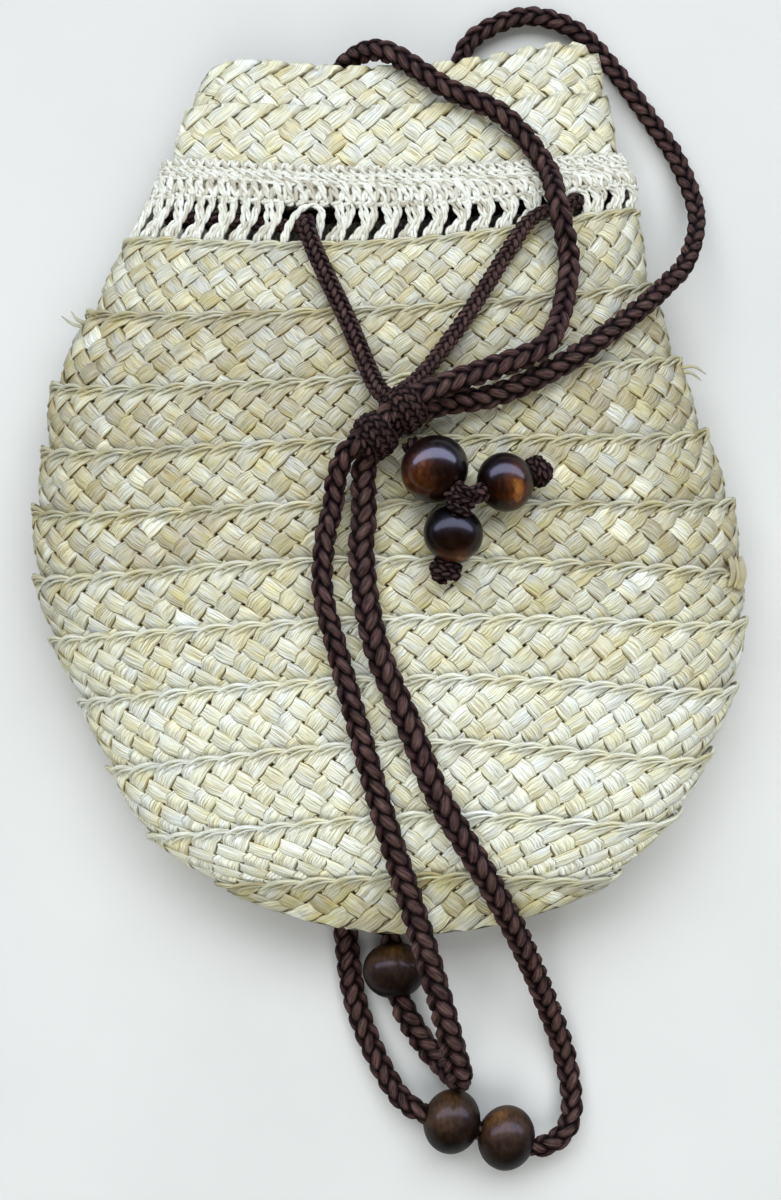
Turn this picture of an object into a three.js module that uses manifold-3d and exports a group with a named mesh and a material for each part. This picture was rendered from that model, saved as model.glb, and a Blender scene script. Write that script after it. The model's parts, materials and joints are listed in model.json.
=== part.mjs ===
// A drawstring backpack of plaited corn husk, lying on its back with its front up.
// Millimetres, +Z up, +Y towards the mouth. The origin is under the middle of the bag.
import * as THREE from "three";
import { ParametricGeometry } from "three/addons/geometries/ParametricGeometry.js";
import { mergeVertices } from "three/addons/utils/BufferGeometryUtils.js";
import Module from "manifold-3d";

// Sizes of the plait wall
const PLAIT_WALL = 1.8;
const CROCHET_WALL = 1.9;
const ROW_MIDDLE = 0.5; // share of a row that stays at full breadth before it dips
const ROW_TUCK = 0.12; // share of a row that is tucked behind the next one
const TUCK_INSET = 2.9; // how far in the tucked edge lies
const RING_SEGMENTS = 28;
const EDGE_POWER = 2.5; // fullness of the front across the bag
const BACK_FLAT = 0.62; // share of the breadth that lies flat on the ground
const CORNER_POWER = 10; // how close to the side edges the rim's corners are rounded
const MIDDLE_Y = 2.6; // the middle of the bag, in the y of the tables below

// Sizes of the crochet band
const SLOT_COUNT = 35;
const SLOT_WIDTH = 2.7;
const SLOT_FROM = 3.12;
const SLOT_TO = 3.84;
const SLOT_DEPTH = 9;
const BAND_SAMPLES = 180; // places along the band at which its length is measured
const EYELET_WIDTH = 7.4;
const EYELET_LEFT_X = -26.5;
const EYELET_RIGHT_X = 60.5;
const EYELET_MARGIN = 6.2; // no slot comes nearer to an eyelet's middle than this

// Sizes of the cords
const STRAP_RADIUS = 4;
const STRAP_SIDES = 8;
const STRAP_STEP = 16;
const TIE_RADIUS = 2.6;
const TIE_SIDES = 8;
const TIE_STEP = 13;
const GAP = 0.35;

// Sizes of the beads and knots
const BIG_BEAD = { radius: 10, length: 17.8 };
const SMALL_BEAD = { radius: 8.75, length: 15.6 };
const BEAD_SIDES = 12;
const BEAD_ARC_STEPS = 6;
const KNOT_SIDES = 10;
const KNOT_RINGS = 7;
const JOIN_KNOT_RADIUS = 4.2;
const END_KNOT = { along: 4, across: 4.6 };
const TIE_LOBE = { along: 8.6, across: 8.5, height: 10.6 };

// Colours of the pieces
const HUSK = { color: 0xd9ceae, roughness: 0.65 };
const STRING = { color: 0xe6e0d0, roughness: 0.8 };
const BRAID = { color: 0x3a2827, roughness: 0.9 };
const WOOD = { color: 0x3b1d10, roughness: 0.25 };

// The seams of the bag from the rim to the bottom fold: where each plait's upper edge ends at the
// left and at the right, how far it bows along the bag between those ends on the front and on the
// back, the height of the front, of the side edges and of the back over the ground, how far the
// corners at the side edges are rounded off, and how much the seam sags on either side of the front.
const SEAM_COLUMNS = [
  "leftX", "leftY", "rightX", "rightY", "frontBow", "backBow", "frontZ", "edgeZ", "backZ", "cornerDrop",
  "leftSag", "rightSag",
];
const SEAM_ROWS = [
  [-63.0, 146.5, 72.0, 154.0, -11.5, -19.0, 27.0, 18.0, 10.5, 10.0, 0.0, 0.0],
  [-68.5, 128.0, 74.5, 133.0, -7.0, -7.0, 31.0, 18.5, 10.0, 2.0, 0.0, 0.0],
  [-74.5, 107.0, 78.5, 109.0, -8.0, 0.0, 34.0, 19.0, 10.0, 0.0, 0.0, 0.0],
  [-78.0, 96.0, 81.5, 100.0, -9.5, 0.0, 36.5, 19.5, 10.0, 0.0, 0.0, 0.0],
  [-87.0, 80.5, 83.0, 91.0, -11.0, 0.0, 39.5, 20.0, 9.5, 0.0, 0.0, 0.0],
  [-98.5, 57.5, 88.0, 66.0, -10.5, 0.0, 44.5, 20.5, 6.0, 0.0, 7.0, 4.0],
  [-109.5, 33.0, 95.5, 41.0, -9.2, 0.0, 48.5, 21.0, 1.5, 0.0, 8.5, 4.0],
  [-112.0, 11.5, 103.5, 17.5, -6.8, 0.0, 51.5, 21.5, 0.0, 0.0, 9.0, 8.5],
  [-114.5, -7.5, 111.5, -5.5, -5.8, 0.0, 53.0, 22.0, 0.0, 0.0, 11.5, 7.0],
  [-113.5, -30.5, 114.0, -30.0, 0.5, 0.0, 53.5, 22.0, 0.0, 0.0, 8.0, 3.0],
  [-108.0, -50.5, 114.5, -44.0, -0.5, 0.0, 53.0, 22.0, 0.0, 0.0, 4.5, 8.5],
  [-98.5, -70.5, 111.0, -65.0, 2.0, 0.0, 51.5, 22.0, 0.0, 0.0, 3.0, 9.5],
  [-88.5, -91.5, 102.5, -85.5, 3.5, 0.0, 49.0, 22.5, 2.0, 0.0, 4.0, 12.0],
  [-75.5, -112.5, 92.0, -104.0, 1.5, 0.0, 45.0, 24.0, 8.0, 0.0, 3.0, 13.0],
  [-53.5, -127.5, 72.5, -123.5, 0.5, 0.0, 38.5, 26.0, 17.0, 0.0, 2.0, 7.0],
  [-46.5, -131.0, 66.5, -128.5, -13.0, -13.0, 27.0, 27.0, 27.0, 0.0, 0.0, 0.0],
];
const COLLAR_SEAM = 0;
const CROCHET_SEAM = 2;
const BODY_SEAM = 4;
const KEEL_SEAM = SEAM_ROWS.length - 1;

// The left strap: from inside the back, under the collar, over the rim, through the tie knot, down
// the front, round its fold on the ground, through two beads and into the back again.
const STRAP_LEFT_ROUTE = [
  [-22, 69.5, 15], [-22, 74, 8.2], [-22, 81, 4.8], [-22, 108, 4.6], [-21, 135, 5.2], [-18, 142, 9.5],
  [-13.5, 145.5, 15.5], [-2, 143.5, 29], [20, 127.5, 34.8], [37, 118.5, 36], [50.5, 101, 36.8],
  [53.5, 84, 46.8], [57.2, 67.7, 42.8], [55.5, 55.5, 45.4], [52.2, 43.6, 50.8], [47, 35, 56.6],
  [31, 27.8, 59.8], [17.6, 22, 63.4], [4.1, 14.9, 67.4], [-4.4, 6.9, 68], [-12.5, 0.3, 65.8],
  [-15.8, -8, 61.2], [-16.6, -15, 58], [-18.6, -22.5, 58], [-19.5, -40.5, 58.2], [-15.5, -56.5, 57.2],
  [-7, -87.5, 53], [-1.5, -106.5, 49.2], [10, -142.5, 39.5], [16.6, -165, 35.5], [21.1, -181.7, 28],
  [22.4, -186.6, 20.5], [21.3, -187.3, 12.5], [18, -184.5, 6.6], [12.7, -179.1, 4.7], [4.7, -166, 9.2],
  [2, -154.5, 10.3], [0.5, -135, 10.4], [0.4, -119, 13], [0.8, -113.5, 18.5],
];
const STRAP_LEFT_BEADS = [[2, -154.5, 10.3], [0.5, -135, 10.4]];

// The right strap: beside the collar on the ground, up over the side of the bag, through the tie
// knot, down the front, round on the ground through two beads and into the back again.
const STRAP_RIGHT_ROUTE = [
  [22, 71.5, 15], [22, 76, 8.2], [22, 83, 5.3], [23, 133, 4.8], [25.5, 153.5, 4.5], [31, 160.5, 4.5],
  [48, 167, 4.5], [64, 162, 4.5], [76.5, 148.5, 4.5], [91, 127, 4.6], [97.5, 116, 5.5], [103, 93.5, 12],
  [96.5, 72, 24], [90, 64, 30], [83, 56, 37], [66, 41, 45.8], [51, 30, 50.6], [32, 20.8, 54],
  [12.5, 16.3, 57], [-3.2, 5.3, 59.8], [-7, -2.2, 58.4], [-7.2, -18.5, 58],
  [-8, -27, 58.3], [-4, -55, 57.3], [6.5, -80.5, 54.5], [14.5, -100, 50.6], [29.5, -125, 43.8],
  [39, -141.5, 33], [51, -167, 11], [56.5, -183, 4.7], [57.8, -199, 6.4], [54.5, -205.5, 8.6],
  [46.6, -208.8, 10.2], [37, -206, 10.3], [10.4, -198.2, 10], [3.5, -193.5, 7], [-9.5, -167.5, 4.5],
  [-13.6, -142, 5], [-14, -126, 9], [-13.5, -113.5, 18.5],
];
const STRAP_RIGHT_BEADS = [[37, -206, 10.3], [20, -201, 10.3]];

// The drawstring outside the bag, on either side of its eyelets, and the depth of its way inside.
const DRAWSTRING_LEFT = [
  [0, 18, 62], [-3, 22, 58.5], [-7, 32, 52.8], [-11, 42.5, 49.7], [-15, 52, 47.6],
  [-19.5, 62, 45.6], [-23.5, 71.5, 43.8], [-25.8, 79, 41.8],
];
const DRAWSTRING_RIGHT = [
  [57.5, 87.5, 36.6], [51.5, 85.5, 39], [45.2, 81.5, 40.4], [37.6, 69.8, 43.4], [31, 58.5, 46],
  [24.6, 47.8, 48.3], [17.7, 37.6, 50.4], [11.6, 29, 53], [8.2, 25, 55.8], [4.6, 20.8, 60],
];
const DRAWSTRING_SEAM = 3.5;
const DRAWSTRING_INSET = 5.4;
const DRAWSTRING_SIDE_INSET = 11;
const DRAWSTRING_INNER_POINTS = 26;

// The wrapped knot round both straps, and the tie that hangs from it: a slider bead, a joining knot,
// and two tails that each run through a bead to an end knot.
const TIE_LOBE_CENTRES = [[4.8, 14.1, 63.6], [-3.9, 6.0, 63.8]];
const TIE_LOBE_DIRECTION = [0.73, 0.68, 0];
const SLIDER_CENTRE = new THREE.Vector3(14, -4, 63.4);
const SLIDER_AXIS = new THREE.Vector3(0.62, -0.72, 0.31).normalize();
const JOIN_CENTRE = SLIDER_CENTRE.clone().addScaledVector(SLIDER_AXIS, 12.6);
const TIE_START = SLIDER_CENTRE.clone().addScaledVector(SLIDER_AXIS, -12.2);
const TAILS = [
  { name: "a", axis: new THREE.Vector3(0.858, 0.348, -0.374).normalize(), beadAt: 15.6, knotAt: 27.4 },
  { name: "b", axis: new THREE.Vector3(-0.19, -0.88, -0.41).normalize(), beadAt: 11.8, knotAt: 23.2 },
];

const wasm = await Module();
wasm.setup();

const seams = SEAM_ROWS.map((row) =>
  Object.fromEntries(SEAM_COLUMNS.map((name, i) => [name, row[i]])),
);

// A seam at any place between the table's rows, on a smooth curve through them.
function seamAt(t) {
  const last = seams.length - 1;
  const i = Math.min(Math.max(Math.floor(t), 0), last - 1);
  const f = t - i;
  const seam = {};
  for (const name of SEAM_COLUMNS) {
    const b = seams[i][name];
    const c = seams[i + 1][name];
    const a = i > 0 ? seams[i - 1][name] : 2 * b - c;
    const d = i + 2 <= last ? seams[i + 2][name] : 2 * c - b;
    const square = 2 * a - 5 * b + 4 * c - d;
    const cube = 3 * b - a - 3 * c + d;
    seam[name] = 0.5 * (2 * b + (c - a) * f + square * f * f + cube * f * f * f);
  }
  seam.backZ = Math.max(seam.backZ, 0);
  return seam;
}

// The bag's surface: the angle goes round the ring from the right end over the front, t runs from
// the rim to the bottom, and inset moves the point into the wall.
function surfacePoint(angle, t, inset, sideInset = inset) {
  const seam = seamAt(t);
  const across = Math.cos(angle);
  const reach = Math.abs(across);
  const bowed = 1 - across * across;
  const x = (seam.leftX + seam.rightX) / 2 + ((seam.rightX - seam.leftX) / 2 - sideInset) * across;
  const corner = seam.cornerDrop * reach ** CORNER_POWER;
  const y = seam.leftY + ((seam.rightY - seam.leftY) * (1 + across)) / 2 - corner;
  if (Math.sin(angle) >= 0) {
    const rise = Math.sqrt(Math.max(0, 1 - reach ** EDGE_POWER));
    const z = seam.edgeZ + (seam.frontZ - inset - seam.edgeZ) * rise;
    const sag = (across < 0 ? seam.leftSag : seam.rightSag) * reach * reach * rise;
    return new THREE.Vector3(x, y + seam.frontBow * bowed - sag, z);
  }
  const curl = Math.max(0, (reach - BACK_FLAT) / (1 - BACK_FLAT));
  const lift = 1 - Math.sqrt(Math.max(0, 1 - curl * curl));
  const back = seam.backZ + inset;
  return new THREE.Vector3(x, y + seam.backBow * bowed, back + (seam.edgeZ - back) * lift);
}

// The angle on the front at which a seam reaches a given x.
function frontAngle(x, t) {
  const seam = seamAt(t);
  const middle = (seam.leftX + seam.rightX) / 2;
  return Math.acos((x - middle) / ((seam.rightX - seam.leftX) / 2));
}

// A closed band round the bag: the corners of its section are given as seam places and insets.
function ringGeometry(section) {
  const place = (u, v, target) => {
    const corner = section[Math.round(v * section.length) % section.length];
    target.copy(surfacePoint(2 * Math.PI * u, corner.t, corner.inset));
  };
  return new ParametricGeometry(place, RING_SEGMENTS, section.length);
}

// One plait: its lower edge is tucked behind the next row's upper edge.
function rowGeometry(top, bottom, wall) {
  const middle = top + (bottom - top) * ROW_MIDDLE;
  const tucked = bottom + ROW_TUCK;
  return ringGeometry([
    { t: top, inset: 0 },
    { t: middle, inset: 0 },
    { t: tucked, inset: TUCK_INSET },
    { t: tucked, inset: TUCK_INSET + wall },
    { t: middle, inset: wall },
    { t: top, inset: wall },
  ]);
}

// The last plait closes the bottom: inside and outside each end in a fold line.
function bottomGeometry() {
  const top = KEEL_SEAM - 1;
  const middle = top + ROW_MIDDLE;
  const stations = [
    (a) => surfacePoint(a, KEEL_SEAM, 0, 2 * PLAIT_WALL).add(new THREE.Vector3(0, 2 * PLAIT_WALL, 0)),
    (a) => surfacePoint(a, middle, PLAIT_WALL),
    (a) => surfacePoint(a, top, PLAIT_WALL),
    (a) => surfacePoint(a, top, 0),
    (a) => surfacePoint(a, middle, 0),
    (a) => surfacePoint(a, KEEL_SEAM, 0),
  ];
  const last = stations.length - 1;
  const place = (u, v, target) => target.copy(stations[Math.round(v * last)](2 * Math.PI * u));
  return new ParametricGeometry(place, RING_SEGMENTS, last);
}

// A tube of even radius along a smooth route.
function tubeGeometry(route, radius, sides, step) {
  const curve = new THREE.CatmullRomCurve3(route);
  const section = new THREE.Shape();
  section.absarc(0, 0, radius, 0, 2 * Math.PI, false);
  return new THREE.ExtrudeGeometry(section, {
    steps: Math.ceil(curve.getLength() / step),
    curveSegments: sides / 2,
    extrudePath: curve,
  });
}

// A round bead before it is drilled, a little shorter along the Y axis than across.
function beadGeometry({ radius, length }) {
  const profile = [];
  for (let i = 0; i <= BEAD_ARC_STEPS; i++) {
    const angle = Math.PI * (i / BEAD_ARC_STEPS - 0.5);
    profile.push(new THREE.Vector2(radius * Math.cos(angle), (length / 2) * Math.sin(angle)));
  }
  profile[0].x = 0;
  profile[BEAD_ARC_STEPS].x = 0;
  return new THREE.LatheGeometry(profile, BEAD_SIDES);
}

// An egg-shaped knot: its length lies along a direction on the ground plan.
function knotGeometry(centre, direction, along, across, height) {
  const turn = new THREE.Quaternion().setFromUnitVectors(new THREE.Vector3(1, 0, 0), direction);
  const matrix = new THREE.Matrix4().compose(centre, turn, new THREE.Vector3(along, across, height));
  return new THREE.SphereGeometry(1, KNOT_SIDES, KNOT_RINGS).applyMatrix4(matrix);
}

// A geometry as a solid that can be joined and cut.
function solidOf(geometry) {
  const bare = geometry.clone();
  bare.deleteAttribute("normal");
  bare.deleteAttribute("uv");
  const merged = mergeVertices(bare, 1e-4);
  return new wasm.Manifold(
    new wasm.Mesh({
      numProp: 3,
      vertProperties: new Float32Array(merged.attributes.position.array),
      triVerts: new Uint32Array(merged.index.array),
    }),
  );
}

function geometryOf(solid) {
  const mesh = solid.getMesh();
  const geometry = new THREE.BufferGeometry();
  geometry.setAttribute("position", new THREE.BufferAttribute(new Float32Array(mesh.vertProperties), 3));
  geometry.setIndex(new THREE.BufferAttribute(new Uint32Array(mesh.triVerts), 1));
  return geometry;
}

function cut(geometry, tools) {
  return geometryOf(tools.reduce((solid, tool) => solid.subtract(solidOf(tool)), solidOf(geometry)));
}

// A box that pierces the crochet band at an angle of its ring.
function slotGeometry(angle, width) {
  const nearby = 0.01;
  const middle = (SLOT_FROM + SLOT_TO) / 2;
  const centre = surfacePoint(angle, middle, CROCHET_WALL / 2);
  const along = surfacePoint(angle, SLOT_FROM, 0).sub(surfacePoint(angle, SLOT_TO, 0));
  const height = along.length();
  along.normalize();
  const round = surfacePoint(angle + nearby, middle, 0).sub(surfacePoint(angle - nearby, middle, 0));
  const out = round.cross(along).normalize();
  const across = along.clone().cross(out);
  const matrix = new THREE.Matrix4().makeBasis(across, along, out).setPosition(centre);
  return new THREE.BoxGeometry(width, height, SLOT_DEPTH).applyMatrix4(matrix);
}

// The slots lie at even steps along the ring, leaving room for the two eyelets.
function crochetGeometry(room) {
  const middle = (SLOT_FROM + SLOT_TO) / 2;
  const eyelets = [EYELET_LEFT_X, EYELET_RIGHT_X].map((x) => frontAngle(x, middle));
  const spots = eyelets.map((angle) => surfacePoint(angle, middle, 0));
  const tools = [room, ...eyelets.map((angle) => slotGeometry(angle, EYELET_WIDTH))];
  const ring = new THREE.CatmullRomCurve3(
    Array.from({ length: BAND_SAMPLES }, (_, i) => {
      return surfacePoint((2 * Math.PI * i) / BAND_SAMPLES, middle, 0);
    }),
    true,
  );
  for (let i = 0; i < SLOT_COUNT; i++) {
    const share = ring.getUtoTmapping(i / SLOT_COUNT);
    const angle = 2 * Math.PI * share;
    const spot = surfacePoint(angle, middle, 0);
    if (spots.every((eyelet) => eyelet.distanceTo(spot) > EYELET_MARGIN)) {
      tools.push(slotGeometry(angle, SLOT_WIDTH));
    }
  }
  return cut(rowGeometry(CROCHET_SEAM, BODY_SEAM, CROCHET_WALL), tools);
}

// The drawstring's whole way: in at the left eyelet, round the inside of the band, out at the right.
function drawstringRoute() {
  const from = frontAngle(EYELET_LEFT_X, DRAWSTRING_SEAM);
  const to = 2 * Math.PI + frontAngle(EYELET_RIGHT_X, DRAWSTRING_SEAM);
  const left = DRAWSTRING_LEFT.map((p) => new THREE.Vector3(...p));
  const right = DRAWSTRING_RIGHT.map((p) => new THREE.Vector3(...p));
  const inside = [];
  for (let i = 0; i < DRAWSTRING_INNER_POINTS; i++) {
    const angle = from + ((to - from) * (i + 0.5)) / DRAWSTRING_INNER_POINTS;
    inside.push(surfacePoint(angle, DRAWSTRING_SEAM, DRAWSTRING_INSET, DRAWSTRING_SIDE_INSET));
  }
  const eyeletLeft = surfacePoint(from, DRAWSTRING_SEAM, 0);
  const eyeletRight = surfacePoint(to, DRAWSTRING_SEAM, 0);
  return [...left, eyeletLeft, ...inside, eyeletRight, ...right];
}

const part = new THREE.Group();

function add(name, geometry, look) {
  geometry.translate(0, -MIDDLE_Y, 0);
  const mesh = new THREE.Mesh(geometry, new THREE.MeshStandardMaterial({ ...look, metalness: 0 }));
  mesh.name = name;
  part.add(mesh);
}

// A bead that is drilled for its cord.
function addBead(name, size, centre, axis, room) {
  const turn = new THREE.Quaternion().setFromUnitVectors(new THREE.Vector3(0, 1, 0), axis);
  const matrix = new THREE.Matrix4().compose(centre, turn, new THREE.Vector3(1, 1, 1));
  add(name, cut(beadGeometry(size).applyMatrix4(matrix), room), WOOD);
}

// Straps and their clearance tools
const straps = [
  { side: "left", route: STRAP_LEFT_ROUTE, beads: STRAP_LEFT_BEADS },
  { side: "right", route: STRAP_RIGHT_ROUTE, beads: STRAP_RIGHT_BEADS },
].map((strap) => ({
  side: strap.side,
  route: strap.route.map((p) => new THREE.Vector3(...p)),
  beads: strap.beads.map((p) => new THREE.Vector3(...p)),
}));
const strapTube = (strap, radius) => tubeGeometry(strap.route, radius, STRAP_SIDES, STRAP_STEP);
const strapRoom = straps.map((strap) => strapTube(strap, STRAP_RADIUS + GAP));

// Drawstring and its clearance tool
const tieTube = (route, radius) => tubeGeometry(route, radius, TIE_SIDES, TIE_STEP);
const drawstring = drawstringRoute();
const drawstringRoom = tieTube(drawstring, TIE_RADIUS + GAP);

// The plaited wall
add("collar_plait_upper", rowGeometry(COLLAR_SEAM, COLLAR_SEAM + 1, PLAIT_WALL), HUSK);
add("collar_plait_lower", rowGeometry(COLLAR_SEAM + 1, CROCHET_SEAM, PLAIT_WALL), HUSK);
add("crochet_band", crochetGeometry(drawstringRoom), STRING);
const bodyRows = KEEL_SEAM - BODY_SEAM;
const rowsWithStrapHoles = [1, bodyRows - 1];
for (let row = 1; row < bodyRows; row++) {
  const top = BODY_SEAM + row - 1;
  const plain = rowGeometry(top, top + 1, PLAIT_WALL);
  const geometry = rowsWithStrapHoles.includes(row) ? cut(plain, strapRoom) : plain;
  add(`plait_row_${String(row).padStart(2, "0")}`, geometry, HUSK);
}
add(`plait_row_${bodyRows}`, bottomGeometry(), HUSK);

// Straps with their beads
for (const strap of straps) {
  add(`strap_${strap.side}`, strapTube(strap, STRAP_RADIUS), BRAID);
  const axis = strap.beads[1].clone().sub(strap.beads[0]).normalize();
  strap.beads.forEach((centre, i) =>
    addBead(`strap_${strap.side}_bead_${i + 1}`, BIG_BEAD, centre, axis, strapRoom),
  );
}

// Drawstring
add("drawstring", tieTube(drawstring, TIE_RADIUS), BRAID);

// Tie knot round the straps
const tieEnd = JOIN_CENTRE.clone().addScaledVector(SLIDER_AXIS, -(JOIN_KNOT_RADIUS + GAP));
const tieRoute = [TIE_START, SLIDER_CENTRE, tieEnd];
const lobeDirection = new THREE.Vector3(...TIE_LOBE_DIRECTION).normalize();
const lobes = TIE_LOBE_CENTRES.map((p) =>
  solidOf(
    knotGeometry(
      new THREE.Vector3(...p),
      lobeDirection,
      TIE_LOBE.along,
      TIE_LOBE.across,
      TIE_LOBE.height,
    ),
  ),
);
const tieRoom = tieTube(tieRoute, TIE_RADIUS + GAP);
const knotRoom = [...strapRoom, drawstringRoom, tieRoom];
add("tie_knot", cut(geometryOf(lobes[0].add(lobes[1])), knotRoom), BRAID);

// Tie cord, slider bead, joining knot and tails
const drill = (centre, axis) => {
  const reach = axis.clone().multiplyScalar(BIG_BEAD.length);
  return tieTube([centre.clone().sub(reach), centre.clone().add(reach)], TIE_RADIUS + GAP);
};
add("tie_cord", tieTube(tieRoute, TIE_RADIUS), BRAID);
addBead("slider_bead", BIG_BEAD, SLIDER_CENTRE, SLIDER_AXIS, [drill(SLIDER_CENTRE, SLIDER_AXIS)]);
const round = JOIN_KNOT_RADIUS;
add("tie_join_knot", knotGeometry(JOIN_CENTRE, lobeDirection, round, round, round), BRAID);
for (const tail of TAILS) {
  const at = (distance) => JOIN_CENTRE.clone().addScaledVector(tail.axis, distance);
  const from = at(JOIN_KNOT_RADIUS + GAP);
  const to = at(tail.knotAt - END_KNOT.along - GAP);
  const centre = at(tail.beadAt);
  add(`tail_cord_${tail.name}`, tieTube([from, centre, to], TIE_RADIUS), BRAID);
  addBead(`tail_bead_${tail.name}`, SMALL_BEAD, centre, tail.axis, [drill(centre, tail.axis)]);
  const knot = knotGeometry(at(tail.knotAt), tail.axis, END_KNOT.along, END_KNOT.across, END_KNOT.across);
  add(`tail_knot_${tail.name}`, knot, BRAID);
}

export default part;
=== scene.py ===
import json
import math

import bpy
import numpy as np
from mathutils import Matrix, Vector

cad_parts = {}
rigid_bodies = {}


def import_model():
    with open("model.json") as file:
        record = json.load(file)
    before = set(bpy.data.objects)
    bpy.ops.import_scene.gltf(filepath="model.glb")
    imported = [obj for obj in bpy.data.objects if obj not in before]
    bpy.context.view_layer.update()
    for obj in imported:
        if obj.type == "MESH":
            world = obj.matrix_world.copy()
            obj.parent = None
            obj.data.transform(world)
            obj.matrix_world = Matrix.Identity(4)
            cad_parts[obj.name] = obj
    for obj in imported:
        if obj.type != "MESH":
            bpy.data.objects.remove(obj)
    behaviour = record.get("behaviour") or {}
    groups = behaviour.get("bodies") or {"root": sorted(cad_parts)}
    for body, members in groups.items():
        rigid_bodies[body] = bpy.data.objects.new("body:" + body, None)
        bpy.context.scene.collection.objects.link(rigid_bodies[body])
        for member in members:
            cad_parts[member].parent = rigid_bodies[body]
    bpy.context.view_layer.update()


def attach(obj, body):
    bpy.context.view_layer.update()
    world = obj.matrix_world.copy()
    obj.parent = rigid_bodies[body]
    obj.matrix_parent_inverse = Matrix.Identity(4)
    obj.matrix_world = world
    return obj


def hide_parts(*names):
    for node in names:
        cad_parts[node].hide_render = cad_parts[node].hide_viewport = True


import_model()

# The looks of a drawstring backpack of plaited corn husk. Sizes are in millimetres until a mesh is made.
MM = 0.001
BODY = "root"

# The camera: above the bag and a little towards its bottom end
CAMERA_AIM = (0.8, -37.6, 20.0)
CAMERA_ELEVATION = 82.0
CAMERA_DISTANCE = 600.0
CAMERA_LENS = 37.5
CAMERA_SENSOR = 24.0

# The husk plait: strands cross at an even pitch along the row and at even levels across it
PLAIT_PITCH = 9.5
LEVEL = 4.05
STRAND_FILL = 1.05
STRAND_THICKNESS = 0.5
STRAND_SWING = 0.62
STRAND_CROWN = 0.68
CROWN_POWER = 2.6
STRAND_EDGE_PAINTED_SHADE = 0.95  # how much darker a strand's edges are painted, as painted shade in the gaps between strands
LEAST_TINT = 0.25
STRAND_SHOULDER = 0.82  # how far across its half width a strand is flat
STRAND_PINCH = 0.08  # a strand is this much wider on a crossing and narrower between two
STRAND_TURN = 0.5  # how many crossings a strand takes to turn at the row's edges
# A strand's section: corners from one edge over the top to the other and back underneath
SECTION_SIDES = np.array([-1, -1, 1, 1, 1, -1])
SECTION_EDGES = np.array([1, 0, 0, 1, 0, 0])
SECTION_HEIGHTS = np.array([0, 1, 1, 0, -1, -1])
SECTION_FIBRES = np.array([0, 0.09, 0.91, 1, 1.09, 1.91, 2])
# How a strand varies from crossing to crossing, and its tint from strand to strand
LIFT_CHANCE = (-0.2, 0.25)
WIDTH_CHANCE = (-0.1, 0.05)
SHIFT_CHANCE = (-0.25, 0.25)
TINT_CHANCE = {"strand": 0.04, "shape": 2.0, "scale": 0.065, "less": 0.1}
FIBRE_SHIFT = 53.0  # moves the fibres along from strand to strand
PLAIT_CENTRE = 1.05  # depth of the plait's middle below the bag's surface
PLAIT_RUN_AT = 0.45  # share of a row at which the run round the bag is measured
TUCK_FROM = 0.4  # share of a row at which it starts to dip behind the next one
TUCK_SPAN = 0.72
TUCK_POWER = 1.5
TUCK_DEPTH = 3.0
BACK_SINK = 0.9  # how much deeper the plait lies on the back, which rests on the ground
BACK_SLOPE = 4.0  # how soon it does so round the edge
ROLL_REACH = 0.3  # the fold of a strand at the row's upper edge
ROLL_DROP = 0.25
ROLL_SPREAD = 1.14
ROLL_TILT = 0.5
ROLL_FADE = 0.4  # how many crossings from the fold its shape fades in
SCALLOP_MIDDLE = 0.4
BODY_FOLD = {"radius": 0.5, "scallop": 1.0, "shoulder": 0.82}
RIM_FOLD = {"radius": 0.8, "scallop": 3.0, "shoulder": 0.42}
# A strand that rises to the fold: it leaves the weave, then dips; crossings from the fold and heights
RISE = {"from": 0.72, "share": 0.78, "dip": 0.46, "low": 0.1}
KEEL_PROUD = 1.0  # how far the last row's lower edge stands off the bottom fold
RING_SAMPLES = 721

# One lip of the folded edge along a body row
# columns: place along the pitch, drop below the edge, stand-out, girth
LIP = np.array([
    [-0.82, 2.70, -0.10, 0.40],
    [-0.64, 1.65, 0.35, 0.80],
    [-0.40, 0.45, 0.65, 1.00],
    [-0.08, -0.55, 0.75, 1.05],
    [0.22, -0.80, 0.70, 1.00],
    [0.50, -0.40, 0.45, 0.85],
    [0.74, 0.50, -0.30, 0.50],
])
LIP_RADIUS = 0.7
# The two layers of a lip: place along the pitch, drop and girth
LIP_LAYERS = [(0.0, 0.0, 1.0), (0.2, 1.0, 0.65)]
LIP_STEPS = 9
LIP_SPREAD = (0.85, 1.15)
LIP_TINT = (0.04, 0.08)  # how much lighter than its row a lip is, and the spread of that

# The cords
STRAP = {"pitch": 21.6, "pairs": 4, "steps": 22, "middle": 2.2, "swing": 0.58, "breadth": 1.8,
         "thickness": 1.3, "core": 1.5, "wide": 1.0, "flat": 1.0, "shade": -0.03}
DRAWSTRING = {"pitch": 16.0, "pairs": 6, "steps": 22, "middle": 1.6, "swing": 0.4, "breadth": 1.0,
              "thickness": 0.7, "core": 1.2, "wide": 1.3, "flat": 0.85, "shade": -0.08}
# The wraps' low shade paints the whole knot darker, as painted shade in its deep windings
WRAP = {"pitch": 9.6, "pairs": 4, "steps": 14, "middle": 0.95, "swing": 0.32, "breadth": 0.9,
        "thickness": 0.62, "core": 0.75, "wide": 1.0, "flat": 1.0, "shade": -0.2}
BRAID_PINCH = 0.48  # how much thinner a strand is where it dives under others
BRAID_STEADY = 0.34  # how much a strand keeps along the cord while it lies on top
BRAID_STAGGER = 0.5  # how many strands later the second way of winding starts
BRAID_SIDES = 6
# Painted shade round a strand, from one edge over its top: its edges and underside are painted darker, its
# top lighter
BRAID_PAINTED_SHADES = np.array([-0.3, 0.08, 0.08, -0.3, -0.4, -0.4])
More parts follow.
